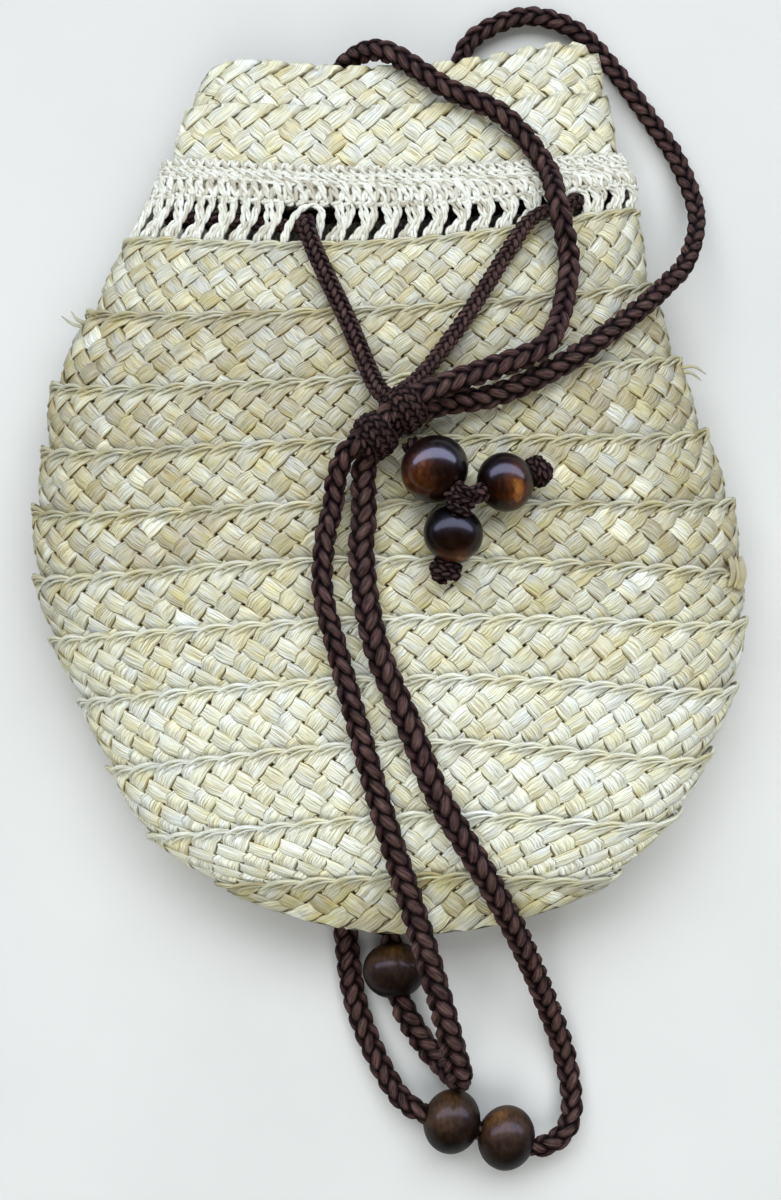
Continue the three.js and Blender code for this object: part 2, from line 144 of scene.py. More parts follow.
# Painted light along a strand: how much lighter a strand is painted where it lies on top, so it is darker
# where it dives under others; the share of that halfway up, how fast it grows, and the chance
BRAID_PAINTED_LIGHT = {"top": 0.86, "halfway": 0.5, "growth": 0.9, "chance": 0.1}
BRAID_FIBRE_SHIFT = (31.0, 7.0)  # moves the fibres along from strand to strand, and from way to way
UPWARDS = (0.0, 0.0, 1.0)
STRAP_NECK = 0.14  # how much a strap narrows inside a bead
STRAP_NECK_LENGTH = 10.0
# The straps' girth, as the share of the length and the girth there
STRAP_LEFT_GIRTH = [(0, 0.95), (0.14, 0.95), (0.26, 0.9), (0.38, 0.98), (0.46, 1.0), (0.52, 0.86),
                    (0.6, 0.86), (0.67, 0.95), (0.76, 1.06), (0.84, 1.05), (1, 1.0)]
STRAP_RIGHT_GIRTH = [(0, 0.9), (0.17, 0.86), (0.32, 0.84), (0.4, 0.93), (0.5, 1.0), (0.56, 1.06),
                     (0.68, 1.03), (0.76, 0.98), (0.82, 0.87), (0.88, 0.9), (0.94, 1.02), (1, 1.02)]

# The beads
BIG_BEAD = {"radius": 10.0, "length": 17.8, "bore": 3.5}
SLIDER_BEAD = {"radius": 10.4, "length": 19.6, "bore": 2.7}
SMALL_BEAD = {"radius": 9.0, "length": 16.8, "bore": 2.7}
BORE_STEP = 0.25  # how much narrower the hole is than its mouth
BORE_SINK = 0.5  # how far in from the mouth that starts
OFF_AXIS = (0.3, 0.5, 0.81)  # a direction that no bead's axis has

# The seams of the bag, as the solids have them: one row for each plait's upper edge, from the rim down
# columns: left x, left y, right x, right y, front bow, back bow, front height, edge height, back height,
# how far the corners are rounded off, left sag, right sag
SEAMS = np.array([
    [-63, 146.5, 72, 154, -11.5, -19, 27, 18, 10.5, 10, 0, 0],
    [-68.5, 128, 74.5, 133, -7, -7, 31, 18.5, 10, 2, 0, 0],
    [-74.5, 107, 78.5, 109, -8, 0, 34, 19, 10, 0, 0, 0],
    [-78, 96, 81.5, 100, -9.5, 0, 36.5, 19.5, 10, 0, 0, 0],
    [-87, 80.5, 83, 91, -11, 0, 39.5, 20, 9.5, 0, 0, 0],
    [-98.5, 57.5, 88, 66, -10.5, 0, 44.5, 20.5, 6, 0, 7, 4],
    [-109.5, 33, 95.5, 41, -9.2, 0, 48.5, 21, 1.5, 0, 8.5, 4],
    [-112, 11.5, 103.5, 17.5, -6.8, 0, 51.5, 21.5, 0, 0, 9, 8.5],
    [-114.5, -7.5, 111.5, -5.5, -5.8, 0, 53, 22, 0, 0, 11.5, 7],
    [-113.5, -30.5, 114, -30, 0.5, 0, 53.5, 22, 0, 0, 8, 3],
    [-108, -50.5, 114.5, -44, -0.5, 0, 53, 22, 0, 0, 4.5, 8.5],
    [-98.5, -70.5, 111, -65, 2, 0, 51.5, 22, 0, 0, 3, 9.5],
    [-88.5, -91.5, 102.5, -85.5, 3.5, 0, 49, 22.5, 2, 0, 4, 12],
    [-75.5, -112.5, 92, -104, 1.5, 0, 45, 24, 8, 0, 3, 13],
    [-53.5, -127.5, 72.5, -123.5, 0.5, 0, 38.5, 26, 17, 0, 2, 7],
    [-46.5, -131, 66.5, -128.5, -13, -13, 27, 27, 27, 0, 0, 0],
])
LAST_SEAM = len(SEAMS) - 1
EDGE_POWER = 2.5
BACK_FLAT = 0.62
CORNER_POWER = 10
MIDDLE_Y = 2.6  # the middle of the bag in the y of these tables
CROCHET_SEAM = 2
BODY_SEAM = 4

# The routes of the cords, as the solids have them
STRAP_LEFT_ROUTE = [
    [-22, 69.5, 15], [-22, 74, 8.2], [-22, 81, 4.8], [-22, 108, 4.6], [-21, 135, 5.2], [-18, 142, 9.5],
    [-13.5, 145.5, 15.5], [-2, 143.5, 29], [20, 127.5, 34.8], [37, 118.5, 36], [50.5, 101, 36.8],
    [53.5, 84, 46.8], [57.2, 67.7, 42.8], [55.5, 55.5, 45.4], [52.2, 43.6, 50.8], [47, 35, 56.6],
    [31, 27.8, 59.8], [17.6, 22, 63.4], [4.1, 14.9, 67.4], [-4.4, 6.9, 68], [-12.5, 0.3, 65.8],
    [-15.8, -8, 61.2], [-16.6, -15, 58], [-18.6, -22.5, 58], [-19.5, -40.5, 58.2], [-15.5, -56.5, 57.2],
    [-7, -87.5, 53], [-1.5, -106.5, 49.2], [10, -142.5, 39.5], [16.6, -165, 35.5], [21.1, -181.7, 28],
    [22.4, -186.6, 20.5], [21.3, -187.3, 12.5], [18, -184.5, 6.6], [12.7, -179.1, 4.7], [4.7, -166, 9.2],
    [2, -154.5, 10.3], [0.5, -135, 10.4], [0.4, -119, 13], [0.8, -113.5, 18.5],
]
STRAP_LEFT_BEADS = [[2, -154.5, 10.3], [0.5, -135, 10.4]]
STRAP_RIGHT_ROUTE = [
    [22, 71.5, 15], [22, 76, 8.2], [22, 83, 5.3], [23, 133, 4.8], [25.5, 153.5, 4.5], [31, 160.5, 4.5],
    [48, 167, 4.5], [64, 162, 4.5], [76.5, 148.5, 4.5], [91, 127, 4.6], [97.5, 116, 5.5], [103, 93.5, 12],
    [96.5, 72, 24], [90, 64, 30], [83, 56, 37], [66, 41, 45.8], [51, 30, 50.6], [32, 20.8, 54],
    [12.5, 16.3, 57], [-3.2, 5.3, 59.8], [-7, -2.2, 58.4], [-7.2, -18.5, 58],
    [-8, -27, 58.3], [-4, -55, 57.3], [6.5, -80.5, 54.5], [14.5, -100, 50.6], [29.5, -125, 43.8],
    [39, -141.5, 33], [51, -167, 11], [56.5, -183, 4.7], [57.8, -199, 6.4], [54.5, -205.5, 8.6],
    [46.6, -208.8, 10.2], [37, -206, 10.3], [10.4, -198.2, 10], [3.5, -193.5, 7], [-9.5, -167.5, 4.5],
    [-13.6, -142, 5], [-14, -126, 9], [-13.5, -113.5, 18.5],
]
STRAP_RIGHT_BEADS = [[37, -206, 10.3], [20, -201, 10.3]]
DRAWSTRING_LEFT = [
    [0, 18, 62], [-3, 22, 58.5], [-7, 32, 52.8], [-11, 42.5, 49.7], [-15, 52, 47.6],
    [-19.5, 62, 45.6], [-23.5, 71.5, 43.8], [-25.8, 79, 41.8],
]
DRAWSTRING_RIGHT = [
    [57.5, 87.5, 36.6], [51.5, 85.5, 39], [45.2, 81.5, 40.4], [37.6, 69.8, 43.4], [31, 58.5, 46],
    [24.6, 47.8, 48.3], [17.7, 37.6, 50.4], [11.6, 29, 53], [8.2, 25, 55.8], [4.6, 20.8, 60],
]
DRAWSTRING_SEAM = 3.5
DRAWSTRING_INSET = 5.4
DRAWSTRING_SIDE_INSET = 11.0
DRAWSTRING_INNER_POINTS = 26
EYELETS = {"left": -26.5, "right": 60.5}

# The tie knot and what hangs from it
TIE_LOBES = [[4.8, 14.1, 63.6], [-3.9, 6.0, 63.8]]
TIE_DIRECTION = [0.73, 0.68, 0.0]
TIE_LOBE = {"along": 7.4, "across": 7.3, "height": 9.4, "turns": 4.2, "girth": 1.05}
SLIDER_CENTRE = np.array([14.0, -4.0, 63.4])
SLIDER_AXIS = [0.62, -0.72, 0.31]
JOIN_AT = 12.6
TIE_START = -12.2
JOIN_DIRECTION = [0.25, 0.95, 0.15]
JOIN_SHIFT = np.array([-0.3, -2.0, 1.0])
JOIN_KNOT = {"along": 6.7, "across": 4.5, "height": 4.4, "turns": 3.4, "girth": 0.8}
END_KNOT = {"along": 4.6, "across": 5.1, "height": 4.7, "turns": 2.6, "girth": 0.85}
WRAP_REACH = 0.93  # how far along a knot its wraps go
WRAP_POINTS = 40  # on each turn
EGG_POWER = 2.4  # roundness of the core inside the wraps
EGG_REACH = 0.97
# Each tail's glow is the direction of its bead's painted glow, where the wood is painted lighter
TAILS = {
    "a": {"axis": [0.858, 0.348, -0.374], "bead_at": 15.6, "knot_at": 27.4,
          "painted_glow_towards": (0.4, -0.35, 0.85), "coat": 0.2},
    "b": {"axis": [-0.19, -0.88, -0.41], "bead_at": 11.8, "knot_at": 23.2,
          "painted_glow_towards": (0.1, -0.95, 0.2), "coat": 0.12},
}


def to_frame(points):
    """Places in the tables' millimetres as metres in the part's own frame."""
    return (np.asarray(points, float) - [0.0, MIDDLE_Y, 0.0]) * MM


def unit(v):
    v = np.asarray(v, float)
    return v / np.maximum(np.linalg.norm(v, axis=-1, keepdims=True), 1e-9)


def full_turn(count):
    """Even angles once round."""
    return np.linspace(0, 2 * np.pi, count, endpoint=False)


def lengths(line):
    """Distance run along a line at each of its points."""
    steps = np.linalg.norm(np.diff(line, axis=0), axis=1)
    return np.concatenate([[0.0], np.cumsum(steps)])


def smooth_curve(points, step=1.0):
    """Even points on the centripetal curve through a route, as the solids follow it."""
    parts = 24
    p = np.asarray(points, float)
    p = np.vstack([2 * p[0] - p[1], p, 2 * p[-1] - p[-2]])
    gap = np.sqrt(np.maximum(np.linalg.norm(np.diff(p, axis=0), axis=1), 1e-4))
    f = np.linspace(0, 1, parts, endpoint=False)[:, None]
    line = []
    for i in range(1, len(p) - 2):
        a, b, c, d = p[i - 1 : i + 3]
        g0, g1, g2 = gap[i - 1 : i + 2]
        start = ((b - a) / g0 - (c - a) / (g0 + g1) + (c - b) / g1) * g1
        end = ((c - b) / g1 - (d - b) / (g1 + g2) + (d - c) / g2) * g1
        square = 3 * (c - b) - 2 * start - end
        cube = 2 * (b - c) + start + end
        line.append(b + start * f + square * f**2 + cube * f**3)
    line = np.vstack([*line, p[-2:-1]])
    return even_line(line, step)


def sampled(field, run, at):
    """Rows of a field along a line, whose points lie at the distances run, read at other distances."""
    return np.stack([np.interp(at, run, field[:, k]) for k in range(3)], axis=1)


def even_line(line, step):
    run = lengths(line)
    at = np.linspace(0, run[-1], round(run[-1] / step) + 1)
    return sampled(line, run, at)


def carried_frames(line, up):
    """Side and up directions along a line that turn as little as they can."""
    tangent = unit(np.gradient(line, axis=0))
    ups = np.empty_like(line)
    current = np.array(up, float)
    for i, t in enumerate(tangent):
        current = current - t * current.dot(t)
        current /= np.linalg.norm(current)
        ups[i] = current
    return np.cross(tangent, ups), ups


# The bag's surface


def seams_at(t):
    """The seam columns at any place between the table's rows."""
    i = np.clip(np.floor(t).astype(int), 0, LAST_SEAM - 1)
    f = (t - i)[..., None]
    b = SEAMS[i]
    c = SEAMS[i + 1]
    a = np.where((i > 0)[..., None], SEAMS[np.maximum(i - 1, 0)], 2 * b - c)
    d = np.where((i + 2 <= LAST_SEAM)[..., None], SEAMS[np.minimum(i + 2, LAST_SEAM)], 2 * c - b)
    square = 2 * a - 5 * b + 4 * c - d
    cube = 3 * b - a - 3 * c + d
    return 0.5 * (2 * b + (c - a) * f + square * f**2 + cube * f**3)


def surface(angle, t, inset, side_inset=None):
    """Points of the bag: angle goes round the ring, t runs from the rim down, inset goes into the wall."""
    angle, t, inset = np.broadcast_arrays(angle, t, inset)
    side = inset if side_inset is None else side_inset
    seam = np.moveaxis(seams_at(t), -1, 0)
    left_x, left_y, right_x, right_y, front_bow, back_bow, front_z, edge_z, back_z = seam[:9]
    corner_drop, left_sag, right_sag = seam[9:]
    across = np.cos(angle)
    reach = np.abs(across)
    bowed = 1 - across**2
    x = (left_x + right_x) / 2 + ((right_x - left_x) / 2 - side) * across
    y = left_y + (right_y - left_y) * (1 + across) / 2 - corner_drop * reach**CORNER_POWER
    rise = np.sqrt(np.maximum(0, 1 - reach**EDGE_POWER))
    front = edge_z + (front_z - inset - edge_z) * rise
    curl = np.maximum(0, (reach - BACK_FLAT) / (1 - BACK_FLAT))
    lift = 1 - np.sqrt(np.maximum(0, 1 - curl**2))
    base = np.maximum(back_z, 0) + inset
    back = base + (edge_z - base) * lift
    is_front = np.sin(angle) >= 0
    z = np.where(is_front, front, back)
    sag = np.where(across < 0, left_sag, right_sag) * reach**2 * rise
    y = y + np.where(is_front, front_bow * bowed - sag, back_bow * bowed)
    return np.stack([x, y, z], axis=-1)


def front_angle(x, t):
    """The angle at which the front of the bag reaches a given x."""
    left_x, _, right_x = seams_at(np.array(float(t)))[:3]
    return math.acos((x - (left_x + right_x) / 2) / ((right_x - left_x) / 2))


class Ring:
    """Places along one level of the bag by the distance run, left to right over the front."""

    def __init__(self, t):
        self.turn = -np.linspace(0, 2 * np.pi, RING_SAMPLES)
        self.run = lengths(surface(self.turn, t, 0.0))
        self.length = self.run[-1]

    def angle(self, run):
        return np.interp(np.mod(run, self.length), self.run, self.turn)

    def place(self, x, t):
        """The distance run to where the front reaches a given x."""
        return np.interp(2 * np.pi - front_angle(x, t), -self.turn, self.run)


# Meshes


class Build:
    """Collects closed tubes of ring points and makes one mesh of them."""

    def __init__(self):
        self.count = 0
        self.points = []
        self.tints = []
        self.quads = []
        self.quad_uvs = []
        self.caps = []

    def tube(self, rings, along, tint, loop=False, spread=None):
        """Adds a tube: rings is rows by columns by 3, along is the distance of each row, tint its shade."""
        rows, columns = rings.shape[:2]
        r = np.arange(rows if loop else rows - 1)
        c = np.arange(columns)
        corners = [(r, c), (r, c + 1), (r + 1, c + 1), (r + 1, c)]
        indices = [(i % rows)[:, None] * columns + j % columns for i, j in corners]
        quads = np.stack(indices, axis=-1).reshape(-1, 4)
        run = np.append(along, 2 * along[-1] - along[-2])
        spread = np.linspace(0, 1, columns + 1) if spread is None else spread
        places = [np.broadcast_arrays(run[i][:, None], spread[j]) for i, j in corners]
        uvs = np.stack([np.stack(place, axis=-1) for place in places], axis=2).reshape(-1, 4, 2)
        flat = rings.reshape(-1, 3)
        a, b, d = (flat[quads[:, k]] - flat.mean(axis=0) for k in (0, 1, 3))
        inside_out = np.sum(a * np.cross(b, d)) < 0
        if inside_out:
            quads = quads[:, ::-1]
            uvs = uvs[:, ::-1]
        if not loop:
            self.close_ends(rows, columns, inside_out)
        shade = np.asarray(tint, float)
        if shade.ndim == 1:
            shade = shade[:, None]
        self.points.append(flat)
        self.tints.append(np.broadcast_to(shade, (rows, columns)).ravel())
        self.quads.append(quads + self.count)
        self.quad_uvs.append(uvs)
        self.count += rows * columns

    def close_ends(self, rows, columns, inside_out):
        """Fans of triangles over the first and the last ring of the tube that is being added."""
        fan = np.arange(1, columns - 1)
        cap = np.stack([np.zeros_like(fan), fan, fan + 1], axis=1) + self.count
        for first, flip in ((0, not inside_out), ((rows - 1) * columns, inside_out)):
            self.caps.append(first + (cap[:, ::-1] if flip else cap))

    def mesh(self, name, marks=None):
        """The mesh of all tubes; marks may give more values for its points."""
        points = np.vstack(self.points)
        quads = np.vstack(self.quads)
        caps = np.vstack(self.caps) if self.caps else np.zeros((0, 3), int)
        loops = np.concatenate([quads.ravel(), caps.ravel()])
        starts = np.concatenate([np.arange(len(quads)) * 4, len(quads) * 4 + np.arange(len(caps)) * 3])
        uvs = np.concatenate([np.vstack(self.quad_uvs).ravel(), np.zeros(caps.size * 2)])
        mesh = bpy.data.meshes.new(name)
        mesh.vertices.add(len(points))
        mesh.vertices.foreach_set("co", to_frame(points).astype(np.float32).ravel())
        mesh.loops.add(len(loops))
        mesh.loops.foreach_set("vertex_index", loops.astype(np.int32))
        mesh.polygons.add(len(starts))
        mesh.polygons.foreach_set("loop_start", starts.astype(np.int32))
        mesh.update(calc_edges=True)
        mesh.shade_smooth()
        mesh.uv_layers.new(name="strand").data.foreach_set("uv", uvs.astype(np.float32))
        values = {"tint": np.concatenate(self.tints)}
        if marks is not None:
            values.update(marks(points))
        for key, value in values.items():
            mesh.attributes.new(key, "FLOAT", "POINT").data.foreach_set("value", value.astype(np.float32))
        mesh.validate()
        return mesh


def add_object(name, data):
    """A new object in the scene."""
    obj = bpy.data.objects.new(name, data)
    bpy.context.scene.collection.objects.link(obj)
    return obj


def piece(name, mesh, material, slot, *replaced):
    """A finished piece of the object that stands for some of its solids."""
    obj = add_object(name, mesh)
    obj.data.materials.append(material)
    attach(obj, BODY)
    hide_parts(*replaced)
    return obj


def section(sides, breadth, thickness):
    """Corners of an oval section as side and up amounts."""
    turn = full_turn(sides)
    return breadth * np.cos(turn), thickness * np.sin(turn)


def add_tube(build, line, radius, sides, tint, up=(0.31, 0.42, 0.85)):
    """A plain round tube; radius may change along the line."""
    side, ups = carried_frames(line, up)
    across, height = section(sides, 1.0, 1.0)
    radius = np.broadcast_to(radius, len(line))[:, None, None]
    rings = line[:, None] + radius * (side[:, None] * across[:, None] + ups[:, None] * height[:, None])
    build.tube(rings, lengths(line), tint)


# Materials


class Nodes:
    """A material's node tree with short calls for the nodes used here."""

    def __init__(self, name):
        self.material = bpy.data.materials.new(name)
        self.material.use_nodes = True
        self.tree = self.material.node_tree
        self.shader = self.tree.nodes["Principled BSDF"]

    def add(self, kind, inputs=None, **settings):
        """A node with its settings; each input gets a value or a link."""
        node = self.tree.nodes.new("ShaderNode" + kind)
        for key, value in settings.items():
            setattr(node, key, value)
        for key, value in (inputs or {}).items():
            self.put(node.inputs[key], value)
        return node

    def put(self, socket, value):
        if isinstance(value, bpy.types.NodeSocket):
            self.tree.links.new(value, socket)
        else:
            socket.default_value = value

    def attribute(self, name):
        return self.add("Attribute", attribute_name=name).outputs["Fac"]

    def strand(self, along, across):
        """Coordinates that follow a strand: stretched along it, fine across it."""
        uv = self.add("UVMap", uv_map="strand").outputs["UV"]
        scale = {"Vector": uv, "Scale": (along, across, 1.0)}
        return self.add("Mapping", scale).outputs["Vector"]

    def objects(self):
        return self.add("TexCoord").outputs["Object"]

    def noise(self, vector, scale=1.0, detail=3.0, rough=0.55):
        values = {"Vector": vector, "Scale": scale, "Detail": detail, "Roughness": rough}
        return self.add("TexNoise", values).outputs["Fac"]

    def ramp(self, factor, *stops):
        """A colour ramp: each stop is a place from 0 to 1 and a linear colour."""
        node = self.add("ValToRGB", {"Fac": factor})
        ramp = node.color_ramp
        while len(ramp.elements) < len(stops):
            ramp.elements.new(0.5)
        for element, (place, colour) in zip(ramp.elements, stops):
            element.position = place
            element.color = (*colour, 1.0)
        return node.outputs["Color"]

    def span(self, value, low, high, to_low, to_high):
        """A value moved from one range to another."""
        values = {"Value": value, "From Min": low, "From Max": high, "To Min": to_low, "To Max": to_high}
        return self.add("MapRange", values).outputs["Result"]

    def mix(self, kind, factor, first, second):
        """Two colours mixed; a mix of colours has these sockets."""
        values = {0: factor, 6: first, 7: second}
        return self.add("Mix", values, data_type="RGBA", blend_type=kind).outputs[2]

    def math(self, kind, first, second):
        return self.add("Math", {0: first, 1: second}, operation=kind).outputs[0]

    def bump(self, height, strength, distance):
        values = {"Height": height, "Strength": strength, "Distance": distance * MM}
        return self.add("Bump", values).outputs["Normal"]

    def finish(self, **inputs):
        for key, value in inputs.items():
            self.put(self.shader.inputs[key.replace("_", " ")], value)
        return self.material


def husk_material():
    n = Nodes("husk_plait")
    fibre = n.noise(n.strand(along=0.12, across=16.0), detail=4.0, rough=0.6)
    band = n.noise(n.strand(along=0.05, across=3.0), detail=2.0)
    blotch = n.noise(n.objects(), scale=120.0)
    # The lowest stops give the dark brown of the painted shade on the strands' edges
    tone = n.ramp(
        n.attribute("tint"),
        (0.0, (0.13, 0.09, 0.04)),
        (0.18, (0.32, 0.26, 0.135)),
        (0.3, (0.46, 0.44, 0.325)),
        (0.6, (0.665, 0.655, 0.54)),
        (0.85, (0.765, 0.775, 0.69)),
        (1.0, (0.83, 0.845, 0.79)),
    )
    streaks = n.ramp(
        fibre,
        (0.35, (0.47, 0.40, 0.28)),
        (0.47, (0.91, 0.89, 0.84)),
        (0.68, (1.42, 1.43, 1.45)),
    )
    colour = n.mix("MULTIPLY", 0.9, tone, streaks)
    warmth = n.span(n.attribute("tint"), 0.45, 0.85, 1.0, 0.5)
    bands = n.ramp(band, (0.3, (0.97, 0.91, 0.68)), (0.5, (1.0, 1.0, 0.97)), (0.68, (0.98, 1.01, 1.12)))
    colour = n.mix("MULTIPLY", warmth, colour, bands)
    patches = n.ramp(blotch, (0.34, (0.99, 0.94, 0.72)), (0.5, (1.0, 1.0, 0.97)), (0.66, (0.97, 1.0, 1.12)))
    colour = n.mix("MULTIPLY", warmth, colour, patches)
    worn = n.math("MULTIPLY", n.attribute("stain"), n.span(blotch, 0.35, 0.65, 0.35, 1.0))
    colour = n.mix("MIX", worn, colour, (0.36, 0.25, 0.10, 1.0))
    return n.finish(
        Base_Color=colour,
        Roughness=n.span(fibre, 0.3, 0.7, 0.58, 0.40),
        Normal=n.bump(fibre, strength=0.8, distance=0.4),
        Specular_IOR_Level=0.22,
    )


def string_material():
    n = Nodes("crochet_string")
    fibre = n.noise(n.strand(along=0.5, across=9.0))
    tone = n.ramp(
        n.attribute("tint"),
        (0.0, (0.40, 0.35, 0.25)),
        (0.4, (0.72, 0.71, 0.62)),
        (1.0, (0.86, 0.87, 0.82)),
    )
    streaks = n.ramp(fibre, (0.3, (0.74, 0.70, 0.60)), (0.6, (1.0, 1.0, 1.0)))
    return n.finish(
        Base_Color=n.mix("MULTIPLY", 0.8, tone, streaks),
        Roughness=n.span(fibre, 0.3, 0.7, 0.85, 0.65),
        Normal=n.bump(fibre, strength=0.5, distance=0.3),
        Specular_IOR_Level=0.3,
    )


def braid_material():
    n = Nodes("brown_braid")
    fibre = n.noise(n.strand(along=0.28, across=13.0), detail=4.0, rough=0.6)
    soft = n.noise(n.objects(), scale=260.0)
    tone = n.ramp(
        n.attribute("tint"),
        (0.0, (0.002, 0.0008, 0.0008)),
        (0.5, (0.012, 0.0055, 0.005)),
        (1.0, (0.098, 0.055, 0.049)),
    )
    streaks = n.ramp(fibre, (0.34, (0.22, 0.2, 0.2)), (0.52, (0.95, 0.95, 0.95)), (0.7, (2.0, 1.95, 1.95)))
    colour = n.mix("MULTIPLY", 0.9, tone, streaks)
    clouds = n.ramp(soft, (0.35, (0.7, 0.68, 0.68)), (0.65, (1.2, 1.2, 1.2)))
    colour = n.mix("MULTIPLY", 0.5, colour, clouds)
    return n.finish(
        Base_Color=colour,
        Roughness=n.span(fibre, 0.3, 0.7, 0.85, 0.6),
        Normal=n.bump(fibre, strength=0.7, distance=0.35),
        Specular_IOR_Level=0.04,
        Sheen_Weight=0.01,
        Sheen_Roughness=0.5,
        Sheen_Tint=(0.75, 0.62, 0.62, 1.0),
    )


def wood_material(name, roughness, coat, tones):
    """Wood with painted light: lighter and amber on the side of each bead that is lit, as a painted glow;
    coat is the weight of the lacquer.
    """
    n = Nodes(name)
    spot = n.objects()
    stretched = n.add("Mapping", {"Vector": spot, "Scale": (900.0, 420.0, 420.0)}).outputs["Vector"]
    grain = n.noise(stretched, detail=4.0)
    cloud = n.noise(spot, scale=150.0)
    # Painted light: the wood is lighter the more a point faces the bead's painted glow direction
    facing = n.span(n.attribute("lit"), -0.1, 1.0, 0.0, 0.85)
    uneven = n.span(cloud, 0.3, 0.7, -0.16, 0.16)
    tone = n.ramp(n.math("ADD", facing, uneven), *tones)
    streaks = n.ramp(grain, (0.35, (0.5, 0.45, 0.4)), (0.62, (1.15, 1.15, 1.15)))
    return n.finish(
        Base_Color=n.mix("MULTIPLY", 0.8, tone, streaks),
        Roughness=n.span(grain, 0.3, 0.7, roughness, roughness + 0.12),
        Normal=n.bump(grain, strength=0.1, distance=0.1),
        Specular_IOR_Level=0.1,
        Coat_Weight=coat,
        Coat_Roughness=0.17,
        Coat_IOR=1.7,
    )


def floor_material():
    n = Nodes("pale_floor")
    cloud = n.noise(n.objects(), scale=6.0, detail=4.0)
    return n.finish(
        Base_Color=n.ramp(cloud, (0.3, (0.60, 0.59, 0.57)), (0.7, (0.66, 0.65, 0.63))),
        Roughness=n.span(cloud, 0.3, 0.7, 0.8, 0.9),
        Specular_IOR_Level=0.2,
    )


HUSK = husk_material()
STRING = string_material()
BRAID = braid_material()
# Wood tones from a bead's dark side up to the amber of its painted glow
RED_WOOD = [
    (0.0, (0.0015, 0.0008, 0.0006)),
    (0.54, (0.012, 0.0038, 0.0016)),
    (0.82, (0.070, 0.020, 0.0045)),
    (1.0, (0.31, 0.12, 0.029)),
]
BROWN_WOOD = [
    (0.0, (0.004, 0.002, 0.0012)),
    (0.45, (0.020, 0.0098, 0.005)),
    (0.8, (0.07, 0.034, 0.012)),
    (1.0, (0.20, 0.095, 0.025)),
]
POLISHED = 0.3  # roughness of the tie's beads
GLOSSY_WOOD = wood_material("polished_wood", POLISHED, coat=0.3, tones=RED_WOOD)
SATIN_WOOD = wood_material("satin_wood", roughness=0.46, coat=0.08, tones=BROWN_WOOD)


# The camera


def add_camera():
    data = bpy.data.cameras.new("camera")
    data.sensor_fit = "VERTICAL"
    data.sensor_height = CAMERA_SENSOR
    data.lens = CAMERA_LENS
    data.clip_start = 0.01
    camera = add_object("camera", data)
    tilt = math.radians(CAMERA_ELEVATION)
    offset = Vector((0.0, -math.cos(tilt), math.sin(tilt))) * CAMERA_DISTANCE
    camera.location = Vector(to_frame(CAMERA_AIM)) + offset * MM
    camera.rotation_euler = (math.pi / 2 - tilt, 0.0, 0.0)
    bpy.context.scene.camera = camera


add_camera()

# Beads


def bead_profile(size):
    """Half of a bead's section: over the outside from mouth to mouth, then back through the hole."""
    mouth = math.asin(size["bore"] / size["radius"])
    polar = np.linspace(mouth, math.pi - mouth, num=22)
    across = size["radius"] * np.sin(polar)
    along = size["length"] / 2 * np.cos(polar)
    hole = size["bore"] - BORE_STEP
    inner = [(hole, along[-1] + BORE_SINK), (hole, along[0] - BORE_SINK)]
    return np.vstack([np.stack([across, along], axis=1), inner])


def add_bead(node, size, centre, axis, painted_glow_towards, material):
    """A drilled bead whose wood is painted lighter towards the given direction, as a painted glow."""
    centre = np.array(centre, float)
    axis = unit(axis)
    side = unit(np.cross(axis, OFF_AXIS))
    other = np.cross(axis, side)
    turn = full_turn(count=44)
    out = np.cos(turn)[:, None] * side + np.sin(turn)[:, None] * other
    across, along = bead_profile(size).T[:, None, :, None]
    build = Build()
    build.tube(centre + across * out[:, None] + along * axis, turn, tint=0.5, loop=True)

    def lit(points):
        return {"lit": (points - centre) @ unit(painted_glow_towards) / size["radius"]}

    return piece(f"{node}_wood", build.mesh(node, lit), material, "wood", node)


# Braided cords


def strand_turn(form, way, strand, at):
    """Where one strand of a braid is round its cord, and how high it lies, from -1 to 1."""
    pairs = form["pairs"]
    waves = pairs // 2
    start = strand + (BRAID_STAGGER if way < 0 else 0.0)
    turn = way * 2 * np.pi * at / form["pitch"] + 2 * np.pi * start / pairs
    lift = way * np.cos(waves * turn)
    angle = turn - BRAID_STEADY * way * np.sin(waves * turn) / waves + np.pi / pairs
    return angle[:, None], lift[:, None]


